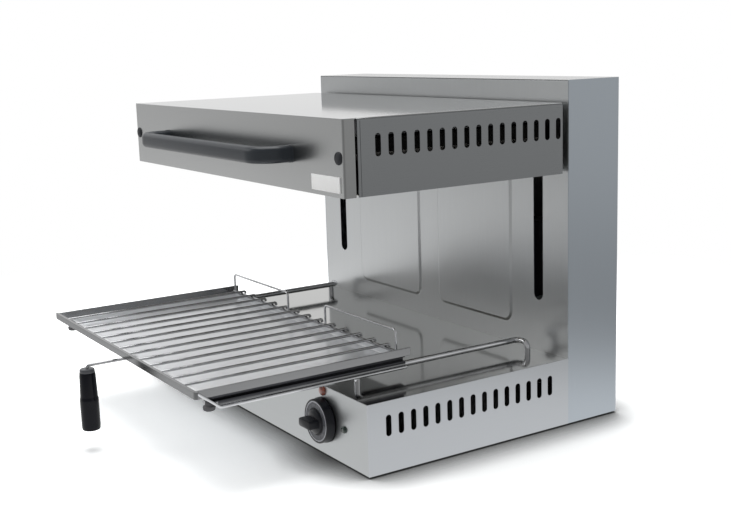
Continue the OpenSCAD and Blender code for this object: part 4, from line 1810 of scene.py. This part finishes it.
    def tray_wall(
        self, made: Mesh, sheet: float, bend: float, corner: float
    ) -> list[list[Any]]:
        """Adds the outlines of one face of the tray's wall, down to the floor.

        Args:
            made: The tray's mesh.
            sheet: How far the face lies inside the outer one.
            bend: Radius of the bend between wall and floor.
            corner: Radius of the corners.

        Returns:
            The outlines, from the top.
        """
        rings = []
        for degrees in range(0, 91, 15):
            angle = math.radians(degrees)
            inset = sheet + bend * (1 - math.cos(angle))
            z = self.tray_floor + sheet + bend * (1 - math.sin(angle))
            rings.append(self.tray_ring(made, (inset, inset), z, corner))
        return rings

    def tray(self) -> None:
        """Makes the pressed drip tray with rounded edges and a rim."""
        made = bmesh.new()
        rim, lip = (-self.rim_wide, -self.rim_deep), (self.rim_inset, self.rim_inset)
        round_rim, round_wall = self.rim_corner, self.wall_corner
        sheet, bend = self.tray_sheet, self.tray_bend
        inside = [
            self.tray_ring(made, rim, self.tray_rim, round_rim),
            self.tray_ring(made, rim, self.rim_top, round_rim),
            self.tray_ring(made, lip, self.rim_top, round_wall),
            *self.tray_wall(made, sheet, bend - sheet, round_wall),
        ]
        outside = [
            inside[0],
            self.tray_ring(made, rim, self.rim_under, round_rim),
            self.tray_ring(made, (0, 0), self.rim_under, round_wall),
            *self.tray_wall(made, 0, bend, round_wall + sheet),
        ]
        for rings in (inside, outside):
            bridge(made, rings)
            made.faces.new(rings[-1])
        tray = point_outwards(made)
        self.add("drip_pan", tray, Finishes.tray, "polished_steel", ("drip_tray",))

    def runners(self) -> None:
        """Makes the folded runners with their lips and bead wires, and the rubber feet. Their
        webs, flanges and the top of each lip are near black as painted shade of the recess under
        the side bars.
        """
        for side in Side:
            # The near black of these slabs is painted shade of the recess.
            channel = merge(*(slab(limits, 0.3, side) for limits in self.CHANNEL))
            for part, mesh, finish in (
                ("channel", channel, Finishes.channel),
                ("lip", slab(self.LIP, 0.4, side), Finishes.strip),
                ("bead", self.bead(side), Finishes.chrome),
            ):
                name, node = f"rack_{part}_{side.word}", f"runner_{side.word}"
                self.add(name, mesh, finish, "bright_steel", (node,))
        spots = [at(x, self.foot_y, 0) for x in (-self.foot_x, self.foot_x)]
        feet = [lathe(self.FOOT, spot, UP, 32) for spot in spots]
        # The rack feet are black rubber greyed as painted light.
        self.add(
            "rack_rubber_feet", merge(*feet), Finishes.rubber_painted_light, "black_rubber", ("rack_feet",)
        )

    def bead(self, side: Side) -> Mesh:
        """Makes the bead wire under the lip, which runs up to the front bar.

        Args:
            side: The side that it is made for.

        Returns:
            The wire.
        """
        x = self.bead_x * side.value
        spots = ((self.rear_y, 0), (self.bead_front, 0), (self.nose_y, self.nose_rise))
        corners = [at(x, y, self.bead_z + rise) for y, rise in spots]
        return bent_wire(corners, Finishes.chrome, self.bead_radius, self.bead_bend, sides=20)

    def grip(self) -> None:
        """Makes the handle wire and the turned handgrip with its cap."""
        corners = [
            at(0, self.wire_start, self.wire_z),
            at(0, self.grip_y, self.wire_z),
            at(0, self.grip_y, self.wire_end),
        ]
        wire = bent_wire(corners, Finishes.wire, self.wire_radius, self.wire_bend)
        self.add("grip_wire", wire, Finishes.wire, "bright_steel", ("rack_handle",))
        for name, profile, finish in (
            ("handgrip", self.GRIP, Finishes.grip),
            ("handgrip_cap", self.CAP, Finishes.cap),
        ):
            turned = lathe(profile, at(0, self.grip_y, 0), UP, 64)
            self.add(name, turned, finish, "grip_plastic", ("rack_grip",))


# ------------------------------------------------------------------ studio


@dataclass
class Studio:
    """Floor, world, lamps and camera.

    Attributes:
        lens: Focal length of the camera, in millimetres on a 36 mm sensor.
        eye: Place of the camera.
        right: Direction to the right of the picture.
        ahead: Direction of view.
    """

    # Directions in which the surroundings have their own brightness.
    TO_REAR: ClassVar[Point] = (-0.84, 0.54, 0.0)
    TO_RIGHT: ClassVar[Point] = (0.73, 0.68, 0.0)
    TO_FRONT: ClassVar[Point] = (-0.84, -0.54, 0.0)
    # What polished metal shows: a grey room, with what each zone adds to it.
    GREY: ClassVar[float] = 0.42
    POOL: ClassVar[float] = 0.6
    FLOOR_REAR: ClassVar[float] = 0.25
    FLOOR_CORNER: ClassVar[float] = 0.27
    FLOOR_FLANK: ClassVar[float] = 0.22
    WALL_REAR: ClassVar[float] = 0.41
    WALL_REAR_HIGH: ClassVar[float] = 0.17
    WALL_FLANK: ClassVar[float] = 0.26
    WALL_FRONT: ClassVar[float] = 0.22
    CEILING: ClassVar[float] = 0.34
    CORNER: ClassVar[Point] = (-1.6, -1.3, 0.0)
    # Distances on the floor between which a zone fades, in metres.
    NEAR: ClassVar[Span] = (0.75, 1.25)
    POOL_EDGE: ClassVar[Span] = (0.40, 1.0)
    CORNER_EDGE: ClassVar[Span] = (0.4, 2.2)
    FLANK_START: ClassVar[Span] = (1.0, 3.0)
    # Cosines between which a zone fades in, to both sides of its direction.
    FLOOR_REAR_EDGE: ClassVar[Span] = (0.33, 0.58)
    WALL_REAR_EDGE: ClassVar[Span] = (0.5, 0.8)
    FLANK_EDGE: ClassVar[Span] = (0.75, 0.95)
    FRONT_EDGE: ClassVar[Span] = (0.6, 0.95)
    # Sines of the height between which a zone fades in.
    REAR_RISE: ClassVar[Span] = (0.1, 0.22)
    FRONT_RISE: ClassVar[Span] = (0.04, 0.2)
    CEILING_RISE: ClassVar[Span] = (0.3, 0.6)
    # What the camera sees of the floor near the melter.
    FAINT: ClassVar[Colour] = (0.02, 0.02, 0.02)
    PALE: ClassVar[Colour] = (1.70, 1.72, 1.72)
    CONTACT_REACH: ClassVar[float] = 0.06
    CONTACT_POWER: ClassVar[float] = 2.2
    # What lights the melter.
    FLOOR_LIGHT: ClassVar[float] = 0.8
    WORLD_LIGHT: ClassVar[float] = 0.5

    lens: float = 55.91
    eye: Point = (1.3512, -0.74395, 0.4996)
    right: Point = (0.5410, 0.8404, -0.0311)
    ahead: Point = (-0.8295, 0.5272, -0.1843)

    def build(self) -> None:
        """Sets up the picture."""
        self.floor()
        self.world()
        self.lamps()
        self.camera()
        bpy.context.scene.view_settings.view_transform = "Standard"

    @staticmethod
    def is_ray(graph: Graph, kind: str) -> Socket:
        """1 for the rays of one kind."""
        return graph.node("ShaderNodeLightPath", {}, {}, f"Is {kind} Ray")

    def shown(self, graph: Graph) -> Socket:
        """1 for the rays that show the background: from the camera, metal and glass."""
        camera, glossy = self.is_ray(graph, "Camera"), self.is_ray(graph, "Glossy")
        return (camera + glossy + self.is_ray(graph, "Transmission")).clamped()

    @staticmethod
    def toward(graph: Graph, heading: Socket, direction: Point) -> Socket:
        """How far a heading points in a direction, from -1 to 1."""
        return graph.vector("DOT_PRODUCT", heading, direction, output="Value")

    def floor(self) -> None:
        """Makes the pale floor, white where no shadow falls and grey in reflections.

        Only the camera sees the shadows near the melter. A contact shadow comes from the
        openness of each place, so that it stays as narrow as in the photograph.
        """
        made = bmesh.new()
        bmesh.ops.create_grid(made, x_segments=1, y_segments=1, size=30)
        data = bpy.data.meshes.new("studio_floor")
        made.to_mesh(data)
        made.free()
        sheet = bpy.data.objects.new("studio_floor", data)
        bpy.context.scene.collection.objects.link(sheet)
        material = bpy.data.materials.new("studio_floor")
        material.use_nodes = True
        graph = Graph(material.node_tree)
        raw = graph.coordinates()
        reach = graph.vector("LENGTH", raw, output="Value")
        heading = graph.vector("NORMALIZE", raw)
        camera = self.is_ray(graph, "Camera")
        near = (1.0 - reach.step(*self.NEAR)) * camera
        pool = 1.0 - reach.step(*self.POOL_EDGE)
        rear = self.toward(graph, heading, self.TO_REAR).step(*self.FLOOR_REAR_EDGE)
        aside = graph.vector("DISTANCE", raw, self.CORNER, output="Value")
        corner = 1.0 - aside.step(*self.CORNER_EDGE)
        flank = self.toward(graph, heading, self.TO_RIGHT).step(*self.FLANK_EDGE)
        lit = self.GREY + camera + pool * self.POOL + rear * self.FLOOR_REAR
        lit = lit + corner * self.FLOOR_CORNER
        lit = lit + flank * reach.step(*self.FLANK_START) * self.FLOOR_FLANK
        shade = graph.mix(near, graph.mix(lit.clamped(), BLACK, WHITE), self.FAINT)
        glow = graph.node("ShaderNodeEmission", {}, {"Color": shade, "Strength": 1.0})
        values = {"Distance": self.CONTACT_REACH}
        openness = graph.node("ShaderNodeAmbientOcclusion", {"samples": 8}, values, "AO")
        pale = graph.mix(near * openness**self.CONTACT_POWER, BLACK, self.PALE)
        shadowed = graph.node("ShaderNodeBsdfDiffuse", {}, {"Color": pale})
        seen = graph.node("ShaderNodeAddShader", {}, [shadowed, glow])
        matt = graph.node("ShaderNodeBsdfDiffuse", {}, {"Color": (*[self.FLOOR_LIGHT] * 3, 1)})
        both = graph.node("ShaderNodeMixShader", {}, [self.shown(graph), matt, seen])
        graph.end("ShaderNodeOutputMaterial", both)
        data.materials.append(material)

    def world(self) -> None:
        """Makes the world white to the camera and softly graded in reflections."""
        world = bpy.data.worlds.new("studio")
        bpy.context.scene.world = world
        world.use_nodes = True
        graph = Graph(world.node_tree)
        direction = graph.coordinates("Generated")
        height = graph.part(direction, 2)
        level = graph.vector("MULTIPLY", direction, (1.0, 1.0, 0.0))
        heading = graph.vector("NORMALIZE", level)
        rear = self.toward(graph, heading, self.TO_REAR).step(*self.WALL_REAR_EDGE)
        flank = self.toward(graph, heading, self.TO_RIGHT).step(*self.FLANK_EDGE)
        front = self.toward(graph, heading, self.TO_FRONT).step(*self.FRONT_EDGE)
        high = height.step(*self.REAR_RISE) * self.WALL_REAR_HIGH
        wall = self.GREY + rear * (self.WALL_REAR + high) + flank * self.WALL_FLANK
        wall = wall + front * height.step(*self.FRONT_RISE) * self.WALL_FRONT
        grade = wall + (self.CEILING - wall) * height.step(*self.CEILING_RISE)
        grade = grade + self.is_ray(graph, "Camera")
        colour = graph.mix(grade.clamped(), BLACK, WHITE)
        values = {"Color": (*WHITE, 1.0), "Strength": self.WORLD_LIGHT}
        soft = graph.node("ShaderNodeBackground", {}, values)
        plain = graph.node("ShaderNodeBackground", {}, {"Color": colour, "Strength": 1.0})
        both = graph.node("ShaderNodeMixShader", {}, [self.shown(graph), soft, plain])
        graph.end("ShaderNodeOutputWorld", both)

    def lamps(self) -> None:
        """Makes a large softbox overhead and a weaker one at the front left."""
        for name, place, aim, size, power in (
            ("softbox_top", (-0.3, 0.1, 2.2), (0.0, 0.0, 0.1), 1.8, 33.0),
            ("softbox_left", (-1.4, -1.8, 1.5), (0.0, 0.0, 0.2), 1.2, 8.0),
        ):
            light = bpy.data.lights.new(name, "AREA")
            light.shape = "SQUARE"
            light.size = size
            light.energy = power
            lamp = bpy.data.objects.new(name, light)
            bpy.context.scene.collection.objects.link(lamp)
            lamp.location = place
            heading = Vector(aim) - Vector(place)
            lamp.rotation_euler = heading.to_track_quat("-Z", "Y").to_euler()

    def camera(self) -> None:
        """Puts the camera at the photograph's place."""
        data = bpy.data.cameras.new("camera")
        data.lens = self.lens
        data.sensor_width = 36.0
        camera = bpy.data.objects.new("camera", data)
        bpy.context.scene.collection.objects.link(camera)
        ahead = Vector(self.ahead).normalized()
        up = Vector(self.right).normalized().cross(ahead).normalized()
        turned = Matrix((ahead.cross(up), up, -ahead)).transposed().to_4x4()
        camera.matrix_world = Matrix.Translation(Vector(self.eye)) @ turned
        bpy.context.scene.camera = camera


def main() -> None:
    """Builds the melter and the studio in order."""
    logging.basicConfig(level=logging.INFO, format="%(name)s %(message)s")
    Studio().build()
    for assembly in (Cabinet(), Lift(), ControlKnob(), Hood(), Rack()):
        assembly.build()
        assembly.report()


if __name__ == "__main__":
    main()
